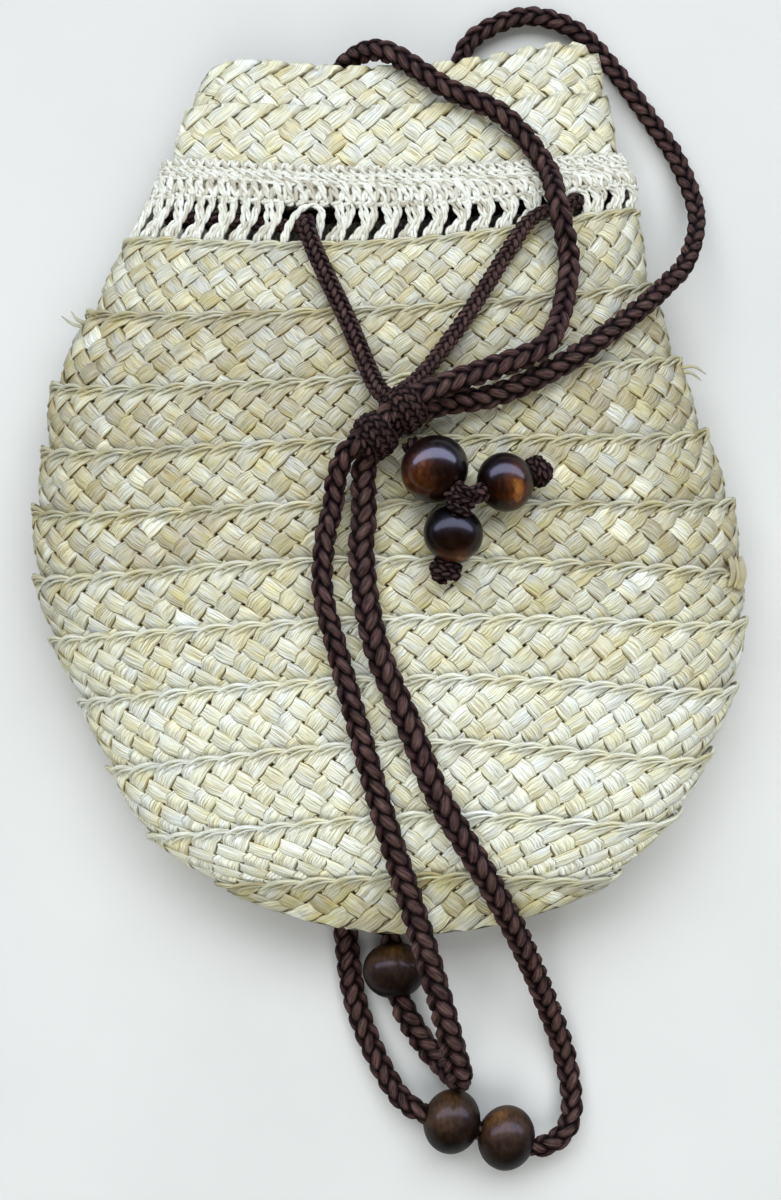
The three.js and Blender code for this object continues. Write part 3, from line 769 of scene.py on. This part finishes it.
def add_braid(build, line, form, rng, girth=1.0):
    """Strands wound both ways round a line, each over two and under two, on a plain core."""
    side, ups = carried_frames(line, UPWARDS)
    run = lengths(line)
    steps = round(run[-1] / form["pitch"] * form["steps"])
    at = np.linspace(0, run[-1], steps)
    girth = np.broadcast_to(girth, len(line))
    scale = np.interp(at, run, girth)[:, None]
    middle = sampled(line, run, at)
    side = unit(sampled(side, run, at))
    ups = unit(sampled(ups, run, at))
    across, height = section(BRAID_SIDES, form["breadth"], form["thickness"])
    for way in (1, -1):
        for strand in range(form["pairs"]):
            angle, lift = strand_turn(form, way, strand, at)
            out = form["wide"] * np.cos(angle) * side + form["flat"] * np.sin(angle) * ups
            centre = middle + (form["middle"] + form["swing"] * lift) * scale * out
            ahead = unit(np.gradient(centre, axis=0))
            out = unit(out - ahead * np.sum(out * ahead, axis=1, keepdims=True))
            beside = np.cross(ahead, out)
            plump = scale * (1 - BRAID_PINCH * (0.5 - 0.5 * lift))
            outline = beside[:, None] * across[:, None] + out[:, None] * height[:, None]
            # Painted light and shade: a strand is painted lighter where it lies on top and darker where it
            # dives under others
            light = np.clip(BRAID_PAINTED_LIGHT["halfway"] + BRAID_PAINTED_LIGHT["growth"] * lift, 0, 1)
            chance = rng.uniform(-BRAID_PAINTED_LIGHT["chance"], BRAID_PAINTED_LIGHT["chance"])
            shade = form["shade"] + BRAID_PAINTED_LIGHT["top"] * light + chance
            fibres = at + np.dot((strand, way), BRAID_FIBRE_SHIFT)
            build.tube(centre[:, None] + plump[:, None] * outline, fibres, shade + BRAID_PAINTED_SHADES)
    # The core is painted in the darkest tint, as painted shade seen between the strands
    core = even_line(line, form["pitch"] / 4)
    core_girth = np.interp(lengths(core), run, girth)
    add_tube(build, core, form["core"] * core_girth, sides=8, tint=0.0, up=UPWARDS)


def braided(name, line, form, rng, girth=1.0, also=()):
    """A braided piece along a line, for the node of its name and any others."""
    build = Build()
    add_braid(build, line, form, rng, girth)
    return piece(f"{name}_braid", build.mesh(name), BRAID, "braid", name, *also)


def strap_girth(line, table, beads):
    """Girth of a strap along its line: by its table, and thinner inside its beads."""
    run = lengths(line)
    girth = np.interp(run / run[-1], *np.transpose(table))
    for bead in beads:
        away = np.linalg.norm(line - np.array(bead), axis=1) / STRAP_NECK_LENGTH
        girth = girth * (1 - STRAP_NECK * np.exp(-(away**4)))
    return girth


def add_strap(name, route, girth_table, beads, painted_glow_towards, seed):
    """A strap with its beads."""
    line = smooth_curve(route)
    girth = strap_girth(line, girth_table, beads)
    strap = braided(name, line, STRAP, np.random.default_rng(seed), girth)
    axis = np.array(beads[1], float) - beads[0]
    for i, centre in enumerate(beads, 1):
        add_bead(f"{name}_bead_{i}", BIG_BEAD, centre, axis, painted_glow_towards, SATIN_WOOD)


add_strap("strap_left", STRAP_LEFT_ROUTE, STRAP_LEFT_GIRTH, STRAP_LEFT_BEADS,
          painted_glow_towards=(-0.1, 0.85, 0.5), seed=11)
add_strap("strap_right", STRAP_RIGHT_ROUTE, STRAP_RIGHT_GIRTH, STRAP_RIGHT_BEADS,
          painted_glow_towards=(-0.25, 0.75, 0.6), seed=12)


def drawstring_route():
    """In at the left eyelet, round the inside of the crochet band and out at the right one."""
    start = front_angle(EYELETS["left"], DRAWSTRING_SEAM)
    end = 2 * np.pi + front_angle(EYELETS["right"], DRAWSTRING_SEAM)
    share = (np.arange(DRAWSTRING_INNER_POINTS) + 0.5) / DRAWSTRING_INNER_POINTS
    angle = start + (end - start) * share
    inside = surface(angle, DRAWSTRING_SEAM, DRAWSTRING_INSET, DRAWSTRING_SIDE_INSET)
    eyelets = surface(np.array([start, end]), DRAWSTRING_SEAM, 0.0)
    return np.vstack([DRAWSTRING_LEFT, eyelets[:1], inside, eyelets[1:], DRAWSTRING_RIGHT])


def add_drawstring():
    line = smooth_curve(drawstring_route())
    obj = braided("drawstring", line, DRAWSTRING, np.random.default_rng(seed=13))


add_drawstring()

# Knots


def add_winding(build, centre, axis, size, rng):
    """Braid wound round an egg-shaped core."""
    centre = np.array(centre, float)
    axis = unit(axis)
    level = unit(np.cross(axis, UPWARDS))
    up = np.cross(level, axis)
    inset = size["girth"] * (WRAP["middle"] + WRAP["thickness"])

    def egg(place, angle):
        swell = np.sqrt(1 - np.abs(place) ** EGG_POWER)
        across = (size["across"] - inset) * swell * np.cos(angle)
        height = (size["height"] - inset) * swell * np.sin(angle)
        along = (size["along"] - inset) * place
        return centre + along[..., None] * axis + across[..., None] * level + height[..., None] * up

    place = np.linspace(-WRAP_REACH, WRAP_REACH, round(size["turns"] * WRAP_POINTS))
    line = egg(place, np.pi * size["turns"] * place / WRAP_REACH)
    add_braid(build, even_line(line, step=0.6), WRAP, rng, size["girth"])
    # The egg core is painted in the darkest tint, as painted shade seen between the wraps
    lengthwise = np.linspace(-EGG_REACH, EGG_REACH, num=14)
    angle, place = np.meshgrid(full_turn(count=16), lengthwise)
    build.tube(egg(place, angle), lengthwise, tint=0.0)


def add_knot(node, centres, axis, size, rng):
    """A knot with one winding at each of its centres."""
    build = Build()
    for centre in centres:
        add_winding(build, centre, axis, size, rng)
    return piece(f"{node}_wraps", build.mesh(node), BRAID, "braid", node)


def add_tail(name, join, rng):
    """A tail's bead and end knot, with the places that its cord goes through."""
    tail = TAILS[name]
    axis = unit(tail["axis"])
    bead_at = join + tail["bead_at"] * axis
    knot_at = join + tail["knot_at"] * axis
    wood = wood_material(f"polished_wood_{name}", POLISHED, tail["coat"], RED_WOOD)
    bead = add_bead(f"tail_bead_{name}", SMALL_BEAD, bead_at, axis, tail["painted_glow_towards"], wood)
    knot = add_knot(f"tail_knot_{name}", [knot_at], axis, END_KNOT, rng)
    return bead, knot, [join, bead_at, knot_at]


def add_tie():
    """The tie knot, and the tie cord with the beads, knots and tails on it."""
    rng = np.random.default_rng(seed=14)
    slider_axis = unit(SLIDER_AXIS)
    join = SLIDER_CENTRE + JOIN_AT * slider_axis
    add_knot("tie_knot", TIE_LOBES, TIE_DIRECTION, TIE_LOBE, rng)
    join_knot = add_knot("tie_join_knot", [join + JOIN_SHIFT], JOIN_DIRECTION, JOIN_KNOT, rng)
    painted_glow_towards = (-0.6, -0.4, 0.7)
    slider = add_bead("slider_bead", SLIDER_BEAD, SLIDER_CENTRE, slider_axis, painted_glow_towards, GLOSSY_WOOD)
    bead_a, knot_a, route_a = add_tail("a", join, rng)
    bead_b, knot_b, route_b = add_tail("b", join, rng)
    start = SLIDER_CENTRE + TIE_START * slider_axis
    line = smooth_curve([start, SLIDER_CENTRE, *route_a])
    tie = braided("tie_cord", line, DRAWSTRING, rng, also=["tail_cord_a"])
    tail = braided("tail_cord_b", smooth_curve(route_b), DRAWSTRING, rng)


add_tie()

# The husk plaits


def turn_shape(turned, levels, fold):
    """Height across the row and out of it along one strand: turned counts crossings from its upper turn."""
    away = np.abs(turned)
    falling = turned > 0
    roll = np.pi * np.clip((turned + ROLL_REACH) / (2 * ROLL_REACH), 0, 1)
    in_roll = away <= ROLL_REACH
    radius = fold["radius"]
    swing = STRAND_SWING
    flat = np.interp(away, [ROLL_REACH, 1, levels], [ROLL_DROP, LEVEL, LEVEL * levels])
    across = np.where(in_roll, ROLL_DROP - radius * np.sin(roll), flat)
    weave = np.where(falling, 1, -1) * swing * np.cos(np.pi * turned)
    rise_at = [-1, -RISE["from"], -RISE["dip"], -ROLL_REACH]
    rising_top = np.interp(turned, rise_at, [swing, RISE["share"] * swing, RISE["low"], radius])
    falling_top = np.interp(turned, [ROLL_REACH, 1], [-radius, -swing])
    last = swing * math.cos(math.pi * (levels - 1))
    past = np.where(falling, away - (levels - 1), 2 - (away - (levels - 1)))
    out = np.where(away > levels - 1, last * np.cos(np.pi * past / 2), weave)
    out = np.where(away < 1, np.where(falling, falling_top, rising_top), out)
    out = np.where(in_roll, radius * np.cos(roll), out)
    return across, out


def crossing_samples(levels):
    """Places along one strand, from its lower turn up to the upper one and down again."""
    steps = np.array([-0.375, -0.125, 0.125, 0.375])
    crossings = (np.arange(1, levels)[:, None] + steps).ravel()
    by_fold = np.array([0.48])
    lower = levels - np.array([0.36, 0.1])
    one_way = np.concatenate([by_fold, crossings, lower])
    upper = ROLL_REACH * np.array([-1, -0.5, 0, 0.5, 1])
    return np.concatenate([-one_way[::-1], upper, one_way])


class Plait:
    """A flat plait laid round the bag: run along it, across from its upper edge, out of the wall."""

    def __init__(self, top, levels, heights, keel):
        self.top = top
        self.levels = levels
        self.keel = keel
        self.ring = Ring(top + PLAIT_RUN_AT)
        self.rounds = round(self.ring.length / (levels * PLAIT_PITCH))
        self.half = self.ring.length / (levels * self.rounds) / 2
        turn = self.ring.turn
        step = surface(turn, top + 1, 0.0) - surface(turn, top, 0.0)
        self.heights = np.clip(np.linalg.norm(step, axis=1), *heights)

    def place(self, points):
        """Points of the plait on the bag."""
        run, across, out = np.moveaxis(points, -1, 0)
        if self.keel:
            share = np.minimum(across / (self.levels * LEVEL), 1)
            depth = PLAIT_CENTRE - (PLAIT_CENTRE + KEEL_PROUD) * np.clip(share, 0, 1)
        else:
            share = across / np.interp(np.mod(run, self.ring.length), self.ring.run, self.heights)
            tuck = np.clip((share - TUCK_FROM) / TUCK_SPAN, 0, None) ** TUCK_POWER
            depth = PLAIT_CENTRE + TUCK_DEPTH * tuck
        angle = self.ring.angle(run)
        depth = depth + BACK_SINK * np.clip(-BACK_SLOPE * np.sin(angle), 0, 1)
        return surface(angle, self.top + share, depth - out)


class StrandForm:
    """What all strands of a plait share, at samples that are counted in crossings along one strand."""

    def __init__(self, plait, fold):
        levels, half = plait.levels, plait.half
        one = crossing_samples(levels)
        turned = np.tile(one, plait.rounds)
        away = np.abs(turned)
        self.crossing = turned + np.repeat(np.arange(plait.rounds) * 2 * levels, len(one))
        self.cells = 2 * levels * plait.rounds
        self.cell = np.mod(np.round(self.crossing).astype(int), self.cells)
        self.across, self.out = turn_shape(turned, levels, fold)
        self.slant = math.hypot(half, LEVEL)
        self.upper = np.clip(1 - (away - ROLL_REACH) / ROLL_FADE, 0, 1)
        above = np.clip((away - ROLL_REACH) / STRAND_TURN, 0, 1)
        below = np.clip((levels - away) / STRAND_TURN, 0, 1)
        none = np.zeros(len(turned))
        sideways = -np.sign(turned) * above * below * half
        self.beside = unit(np.stack([none + LEVEL, sideways, none], axis=1))
        way = np.where(turned > 0, 1.0, -1.0)
        facing = np.abs(half * self.beside[:, 1] - way * LEVEL * self.beside[:, 0]) / self.slant
        pinch = 1 + STRAND_PINCH * np.cos(2 * np.pi * turned) * (1 - self.upper)
        swell = 1 + (ROLL_SPREAD - 1) * self.upper
        self.half_width = STRAND_FILL * half * LEVEL / self.slant / facing * pinch * swell
        shoulder = STRAND_SHOULDER + (fold["shoulder"] - STRAND_SHOULDER) * self.upper
        self.corners = SECTION_SIDES * np.where(SECTION_EDGES, 1.0, shoulder[:, None])


def add_strands(build, plait, fold, tone, rng):
    """The plait's strands: each zigzags between the row's edges and folds over there."""
    form = StrandForm(plait, fold)
    upper = form.upper[:, None]
    height = SECTION_HEIGHTS * STRAND_THICKNESS / 2
    crown = STRAND_CROWN * np.abs(form.corners) ** CROWN_POWER + ROLL_TILT * upper * form.corners
    scallop = fold["scallop"] * upper * (form.corners**2 - SCALLOP_MIDDLE)
    # Painted shade: each strand's edges are darkened for the shade in the gaps between strands
    painted_edge_shading = 1 - STRAND_EDGE_PAINTED_SHADE * SECTION_EDGES

    def vary(chance):
        """A chance value for each crossing, none at the upper edge."""
        return rng.uniform(*chance, form.cells)[form.cell] * (1 - form.upper)

    for strand in range(plait.levels):
        run = form.crossing * plait.half + strand * 2 * plait.half
        path = np.stack([run, form.across, form.out * (1 + vary(LIFT_CHANCE))], axis=1)
        before = np.roll(path, 1, axis=0)
        after = np.roll(path, -1, axis=0)
        before[0, 0] -= plait.ring.length
        after[-1, 0] += plait.ring.length
        facing_out = unit(np.cross(after - before, form.beside))
        wide = form.half_width * (1 + vary(WIDTH_CHANCE))
        offset = wide[:, None] * form.corners + vary(SHIFT_CHANCE)[:, None]
        points = path[:, None] + form.beside[:, None] * offset[..., None]
        points = points + facing_out[:, None] * height[:, None]
        points[..., 1] += scallop
        points[..., 2] -= crown
        tint = tone + rng.normal(0, TINT_CHANCE["strand"]) - TINT_CHANCE["less"]
        tint = tint + rng.gamma(TINT_CHANCE["shape"], TINT_CHANCE["scale"], form.cells)[form.cell]
        shade = np.clip(tint, LEAST_TINT, 1)[:, None] * painted_edge_shading
        fibres = form.crossing * form.slant + strand * FIBRE_SHIFT
        build.tube(plait.place(points), fibres, shade, loop=True, spread=SECTION_FIBRES)


def add_lips(build, plait, tone, rng):
    """The lips that the folded strands make along the row's upper edge."""
    pitch = 2 * plait.half
    share = np.linspace(0, 1, LIP_STEPS)
    for k in range(plait.levels * plait.rounds):
        for shift, drop, fat in LIP_LAYERS:
            shape = LIP * rng.uniform(*LIP_SPREAD, LIP.shape)
            run = (k + shift + LIP[:, 0]) * pitch
            points = np.stack([run, shape[:, 1] + drop, shape[:, 2]], axis=1)
            line = smooth_curve(points, step=0.4)
            line = sampled(line, np.linspace(0, 1, len(line)), share)
            girth = LIP_RADIUS * fat * np.interp(share, np.linspace(0, 1, len(LIP)), shape[:, 3])
            tint = np.clip(tone + rng.normal(*LIP_TINT), LEAST_TINT, 1)
            add_tube(build, plait.place(line), girth, sides=5, tint=tint)


# Loose ends of husk at the sides: the row and the places each end runs through
FRAYS = [
    ("plait_row_02", [(-98.5, 52, 21), (-103, 53, 22), (-106.4, 55.6, 21.6)]),
    ("plait_row_02", [(-98.5, 53.2, 21.6), (-101.4, 54.4, 22.6), (-103.2, 57, 22.2)]),
    ("plait_row_03", [(94.5, 38, 22.4), (99, 38.2, 23.6), (103, 35.8, 23.2)]),
    ("plait_row_03", [(94, 36.4, 22.8), (98, 36, 24), (101.2, 33.6, 23.8)]),
]
FRAY_GIRTH = [0.75, 0.6, 0.2]
# A mend of yellow raffia at the right side: angles are round the bag, seams are heights on it
MEND = {"row": "plait_row_05", "angles": (0.2, 0.35), "seams": (8.78, 9.26), "strands": 9, "points": 12,
        "slant": 0.03, "radius": 0.62, "proud": 0.3, "bulge": 1.1, "tint": 0.33}
MEND_CHANCE = {"seam": (-0.04, 0.04), "angle": (-0.008, 0.008), "tint": (-0.06, 0.08)}


def add_frays(build, name, tone):
    for row, places in FRAYS:
        if row == name:
            line = smooth_curve(places, step=0.8)
            girth = np.interp(np.linspace(0, 1, len(line)), [0, 0.5, 1], FRAY_GIRTH)
            add_tube(build, line, girth, sides=6, tint=tone)


def add_mend(build, rng):
    share = np.linspace(0, 1, MEND["points"])
    out = MEND["proud"] + MEND["bulge"] * np.sin(np.pi * share)
    for start in np.linspace(*MEND["angles"], MEND["strands"]):
        t = np.interp(share, [0, 1], MEND["seams"]) + rng.uniform(*MEND_CHANCE["seam"])
        angle = start + MEND["slant"] * share + rng.uniform(*MEND_CHANCE["angle"])
        tint = MEND["tint"] + rng.uniform(*MEND_CHANCE["tint"])
        add_tube(build, surface(angle, t, -out), MEND["radius"], sides=6, tint=tint)


# Worn and stained places on the front: x, y, radius along x, radius along y, strength
STAINS = np.array([
    [-68, -22, 5, 3.5, 0.45],
    [-75, -29, 4, 3.5, 0.5],
    [-47.5, -27, 4, 3.5, 0.55],
    [-55.6, -18, 4, 2.5, 0.4],
    [-80, 11, 5, 4, 0.45],
    [12.6, -37.5, 5, 4, 0.5],
    [61, -57, 5, 4, 0.35],
    [23, -88, 5, 4, 0.4],
    [-30, -91, 16, 7, 0.22],
    [-60, 104, 4, 3, 0.6],
    [108, -30, 5, 9, 0.5],
])
STAIN_FROM = 15.0  # what lies lower than this has no stains
MOST_STAIN = 0.8


def stains(points):
    """How stained each point of the husk is, from 0 to 1."""
    total = np.zeros(len(points))
    for x, y, wide, high, strength in STAINS:
        total += strength * np.exp(-(((points[:, 0] - x) / wide) ** 2) - ((points[:, 1] - y) / high) ** 2)
    return {"stain": np.clip(total * (points[:, 2] > STAIN_FROM), 0, MOST_STAIN)}


# The plaits from the rim down: name, seam, strands, least and greatest height of a row, tone
COLLAR_ROWS = [
    ("collar_plait_upper", 0, 5, (15.0, 22.0), 0.62),
    ("collar_plait_lower", 1, 6, (17.0, 24.0), 0.62),
]
# The body rows' tones: the husk's own tone, and also painted shade that makes rows 1 to 5 and the last row
# darker
BODY_TONES = [0.42, 0.3, 0.36, 0.35, 0.32, 0.48, 0.62, 0.69, 0.73, 0.72, 0.36]
BODY_STRANDS = 7
BODY_HEIGHTS = (18.5, 26.0)
KEEL_STRANDS = 4


def add_husk_rows():
    rows = list(COLLAR_ROWS)
    for i, tone in enumerate(BODY_TONES):
        last = i == len(BODY_TONES) - 1
        strands = KEEL_STRANDS if last else BODY_STRANDS
        rows.append((f"plait_row_{i + 1:02d}", BODY_SEAM + i, strands, BODY_HEIGHTS, tone))
    for i, (name, top, strands, heights, tone) in enumerate(rows):
        build = Build()
        rng = np.random.default_rng(seed=100 + i)
        plait = Plait(top, strands, heights, top == LAST_SEAM - 1)
        in_body = top >= BODY_SEAM
        add_strands(build, plait, BODY_FOLD if in_body else RIM_FOLD, tone, rng)
        if in_body:
            add_lips(build, plait, tone, rng)
        add_frays(build, name, tone)
        if name == MEND["row"]:
            add_mend(build, rng)
        piece(f"{name}_husk", build.mesh(name, stains), HUSK, "husk", name)


add_husk_rows()

# The crochet band

STITCH_PITCH = 7.7
STITCH_CHANCE = (-0.3, 0.3)
PLY_RADIUS = 0.56
PLY_TWIST = 8.0
PLY_OFFSET = 0.8  # how far off the string's middle a ply is, in its radius
PLY_TINTS = (0.1, 0.95)
PLY_UP = (0.21, 0.33, 0.92)
BAND_MIDDLE = CROCHET_SEAM + 1.5
# How deep the band lies: above its open row, and how much more and how soon below it
BAND_DEPTH = {"above": 0.9, "more": 2.0, "from": 3.0, "span": 1.1, "power": 1.5}
HEADER_BACK = {"from": 2.0, "to": 2.98, "depth": 1.35, "thickness": 0.9}
# The strings of the stitches: place along the band, seam height, stand-out
HEADER_STITCH = [
    [(-2.2, 2.3, 0.2), (-1.4, 2.46, 1.1), (-0.2, 2.7, 1.4), (0.7, 2.96, 0.4)],
    [(1.3, 2.3, 0.2), (1.9, 2.5, 0.8), (1.8, 2.76, 0.9), (1.2, 2.98, 0.2)],
    [(-1.0, 2.98, 0.2), (0.1, 3.06, 1.0), (1.2, 2.98, 0.3)],
]
HEADER_PLY_RADIUS = 0.74
# Chains along the header: seam height, stand-out, swing up and down
CHAINS = [(2.0, 0.7, 0.09), (2.15, 0.45, 0.08), (2.3, 0.75, 0.08)]
CHAIN_LOOPS = 1.2
CHAIN_SWAY = 0.5
OPEN_STITCH = [
    [(-3.4, 3.0, 0.5), (-2.3, 3.24, 1.1), (-0.6, 3.48, 1.2), (0.7, 3.66, 0.8), (1.4, 3.78, 0.2)],
    [(-2.2, 2.98, 0.6), (-1.0, 3.18, 1.2), (0.5, 3.42, 1.1), (1.5, 3.62, 0.5)],
    [(0.1, 2.98, 0.4), (1.2, 3.2, 0.7), (1.8, 3.44, 0.9),
     (1.3, 3.64, 1.1), (-0.3, 3.82, 0.9), (-1.2, 4.15, 0.2)],
    [(1.4, 2.98, 0.4), (2.4, 3.2, 0.8), (2.8, 3.46, 0.9),
     (2.3, 3.68, 0.8), (2.1, 3.9, 0.6), (2.4, 4.15, 0.2)],
    [(0.6, 3.56, 0.4), (-0.8, 3.7, 0.9), (-2.2, 3.86, 0.8), (-2.7, 4.15, 0.2)],
    [(0.9, 3.66, 0.2), (1.1, 3.88, 0.5), (1.2, 4.15, 0.2)],
]
EYELET_HALF = 4.3
EYELET_RIM = 1.3  # how much wider the second string round an eyelet is
EYELET_CLEAR = 2.2
EYELET_ARCH = [(-1.0, 4.12, 0.2), (-1.0, 3.6, 0.7), (-0.62, 3.17, 0.8), (0.0, 3.06, 0.8),
               (0.62, 3.17, 0.8), (1.0, 3.6, 0.7), (1.0, 4.12, 0.2)]


def add_string(build, line, rng, radius=PLY_RADIUS):
    """Crochet string: two plies twisted round each other along a line."""
    side, ups = carried_frames(line, PLY_UP)
    run = lengths(line)
    start = rng.uniform(0, 2 * np.pi)
    for ply in (0.0, np.pi):
        angle = start + ply + 2 * np.pi * run / PLY_TWIST
        offset = radius * PLY_OFFSET * (np.cos(angle)[:, None] * side + np.sin(angle)[:, None] * ups)
        add_tube(build, line + offset, radius, sides=5, tint=rng.uniform(*PLY_TINTS))


class Band:
    """The crochet band: places by the run round it, the seam height and the stand-out."""

    def __init__(self):
        self.ring = Ring(BAND_MIDDLE)
        self.count = round(self.ring.length / STITCH_PITCH)
        self.pitch = self.ring.length / self.count

    def place(self, run, t, out):
        below = np.clip((t - BAND_DEPTH["from"]) / BAND_DEPTH["span"], 0, 1)
        depth = BAND_DEPTH["above"] + BAND_DEPTH["more"] * below ** BAND_DEPTH["power"]
        return surface(self.ring.angle(run), t, depth - out)

    def stitch(self, build, run, shape, rng, step=1.2, radius=PLY_RADIUS):
        """A string through the places of a stitch shape, moved along the band."""
        along, t, out = np.transpose(shape)
        along = along + run + rng.uniform(*STITCH_CHANCE, len(along))
        add_string(build, smooth_curve(self.place(along, t, out), step), rng, radius)


def add_header(build, band, rng):
    """The dense upper part: a plain back, rows of stitches and chains along them."""
    turn = -full_turn(count=180)
    top, bottom = HEADER_BACK["from"], HEADER_BACK["to"]
    near = HEADER_BACK["depth"]
    far = near + HEADER_BACK["thickness"]
    corners = [(top, near), (bottom, near), (bottom, far), (top, far)]
    back = np.stack([surface(turn, t, depth) for t, depth in corners], axis=1)
    # The back gets the string's darkest tone, as painted shade seen between the stitches
    build.tube(back, np.linspace(0, band.ring.length, len(turn)), tint=0.0, loop=True)
    run = np.linspace(0, band.ring.length, num=band.count * 8, endpoint=False)
    waves = round(band.count * CHAIN_LOOPS)
    for t, out, swing in CHAINS:
        for phase in (0.0, np.pi):
            wave = 2 * np.pi * waves * run / band.ring.length + phase
            line = band.place(run, t + swing * np.sin(wave), out + CHAIN_SWAY * np.cos(wave))
            add_string(build, line, rng)
    for k in range(band.count * 2):
        for shape in HEADER_STITCH:
            band.stitch(build, k * band.pitch / 2, shape, rng, step=1.3, radius=HEADER_PLY_RADIUS)


def add_crochet():
    """The whole band: its header, the open row below it and the eyelets in that row."""
    rng = np.random.default_rng(seed=41)
    band = Band()
    build = Build()
    add_header(build, band, rng)
    length = band.ring.length
    spots = [band.ring.place(x, BAND_MIDDLE) for x in EYELETS.values()]
    for k in range(band.count):
        run = (k + 0.5) * band.pitch
        away = min(abs((run - spot + length / 2) % length - length / 2) for spot in spots)
        if away > EYELET_HALF + EYELET_CLEAR:
            for shape in OPEN_STITCH:
                band.stitch(build, run, shape, rng)
    for spot in spots:
        for reach in (EYELET_HALF, EYELET_HALF + EYELET_RIM):
            arch = [(along * reach, t, out) for along, t, out in EYELET_ARCH]
            band.stitch(build, spot, arch, rng)
    piece("crochet_band_string", build.mesh("crochet_band"), STRING, "string", "crochet_band")


add_crochet()

# The studio

FLOOR_HALF = 3.0  # metres, as the places and sizes of the lights are
FLOOR_LEVEL = -0.4
WINDOW = {"place": (-0.1, 1.35, 2.7), "size": (4.0, 2.0), "power": 114.0, "colour": (0.90, 0.96, 1.0)}
FILL = {"place": (0.1, -0.9, 1.3), "size": (1.4, 1.0), "power": 12.0, "colour": (0.97, 1.0, 1.0)}
SKY = {"place": (0.0, 0.85, 1.0), "size": (8.0, 0.9), "power": 260.0, "colour": (0.62, 0.66, 1.0)}
AMBIENT_COLOUR = (0.96, 1.0, 1.0, 1.0)
AMBIENT_STRENGTH = 0.19


def add_floor():
    half = FLOOR_HALF
    corners = [(-half, -half), (half, -half), (half, half), (-half, half)]
    mesh = bpy.data.meshes.new("floor")
    mesh.from_pydata([(x, y, FLOOR_LEVEL * MM) for x, y in corners], [], [(0, 1, 2, 3)])
    mesh.materials.append(floor_material())
    floor = add_object("floor", mesh)


def add_light(name, form):
    """A rectangle of light that faces the middle of the bag."""
    data = bpy.data.lights.new(name, "AREA")
    data.shape = "RECTANGLE"
    data.size, data.size_y = form["size"]
    data.energy = form["power"]
    data.color = form["colour"]
    light = add_object(name, data)
    light.location = form["place"]
    light.rotation_euler = (-light.location).to_track_quat("-Z", "Y").to_euler()
    return light


def add_world():
    """Even light from all round, which shows in no reflection."""
    world = bpy.data.worlds.new("studio")
    world.use_nodes = True
    background = world.node_tree.nodes["Background"]
    background.inputs["Color"].default_value = AMBIENT_COLOUR
    background.inputs["Strength"].default_value = AMBIENT_STRENGTH
    bpy.context.scene.world = world
    world.cycles_visibility.glossy = False


add_floor()
add_light("window_light", WINDOW).visible_glossy = False
add_light("fill_light", FILL).visible_glossy = False
add_light("sky_reflection", SKY).visible_diffuse = False
add_world()
bpy.context.scene.view_settings.view_transform = "Standard"
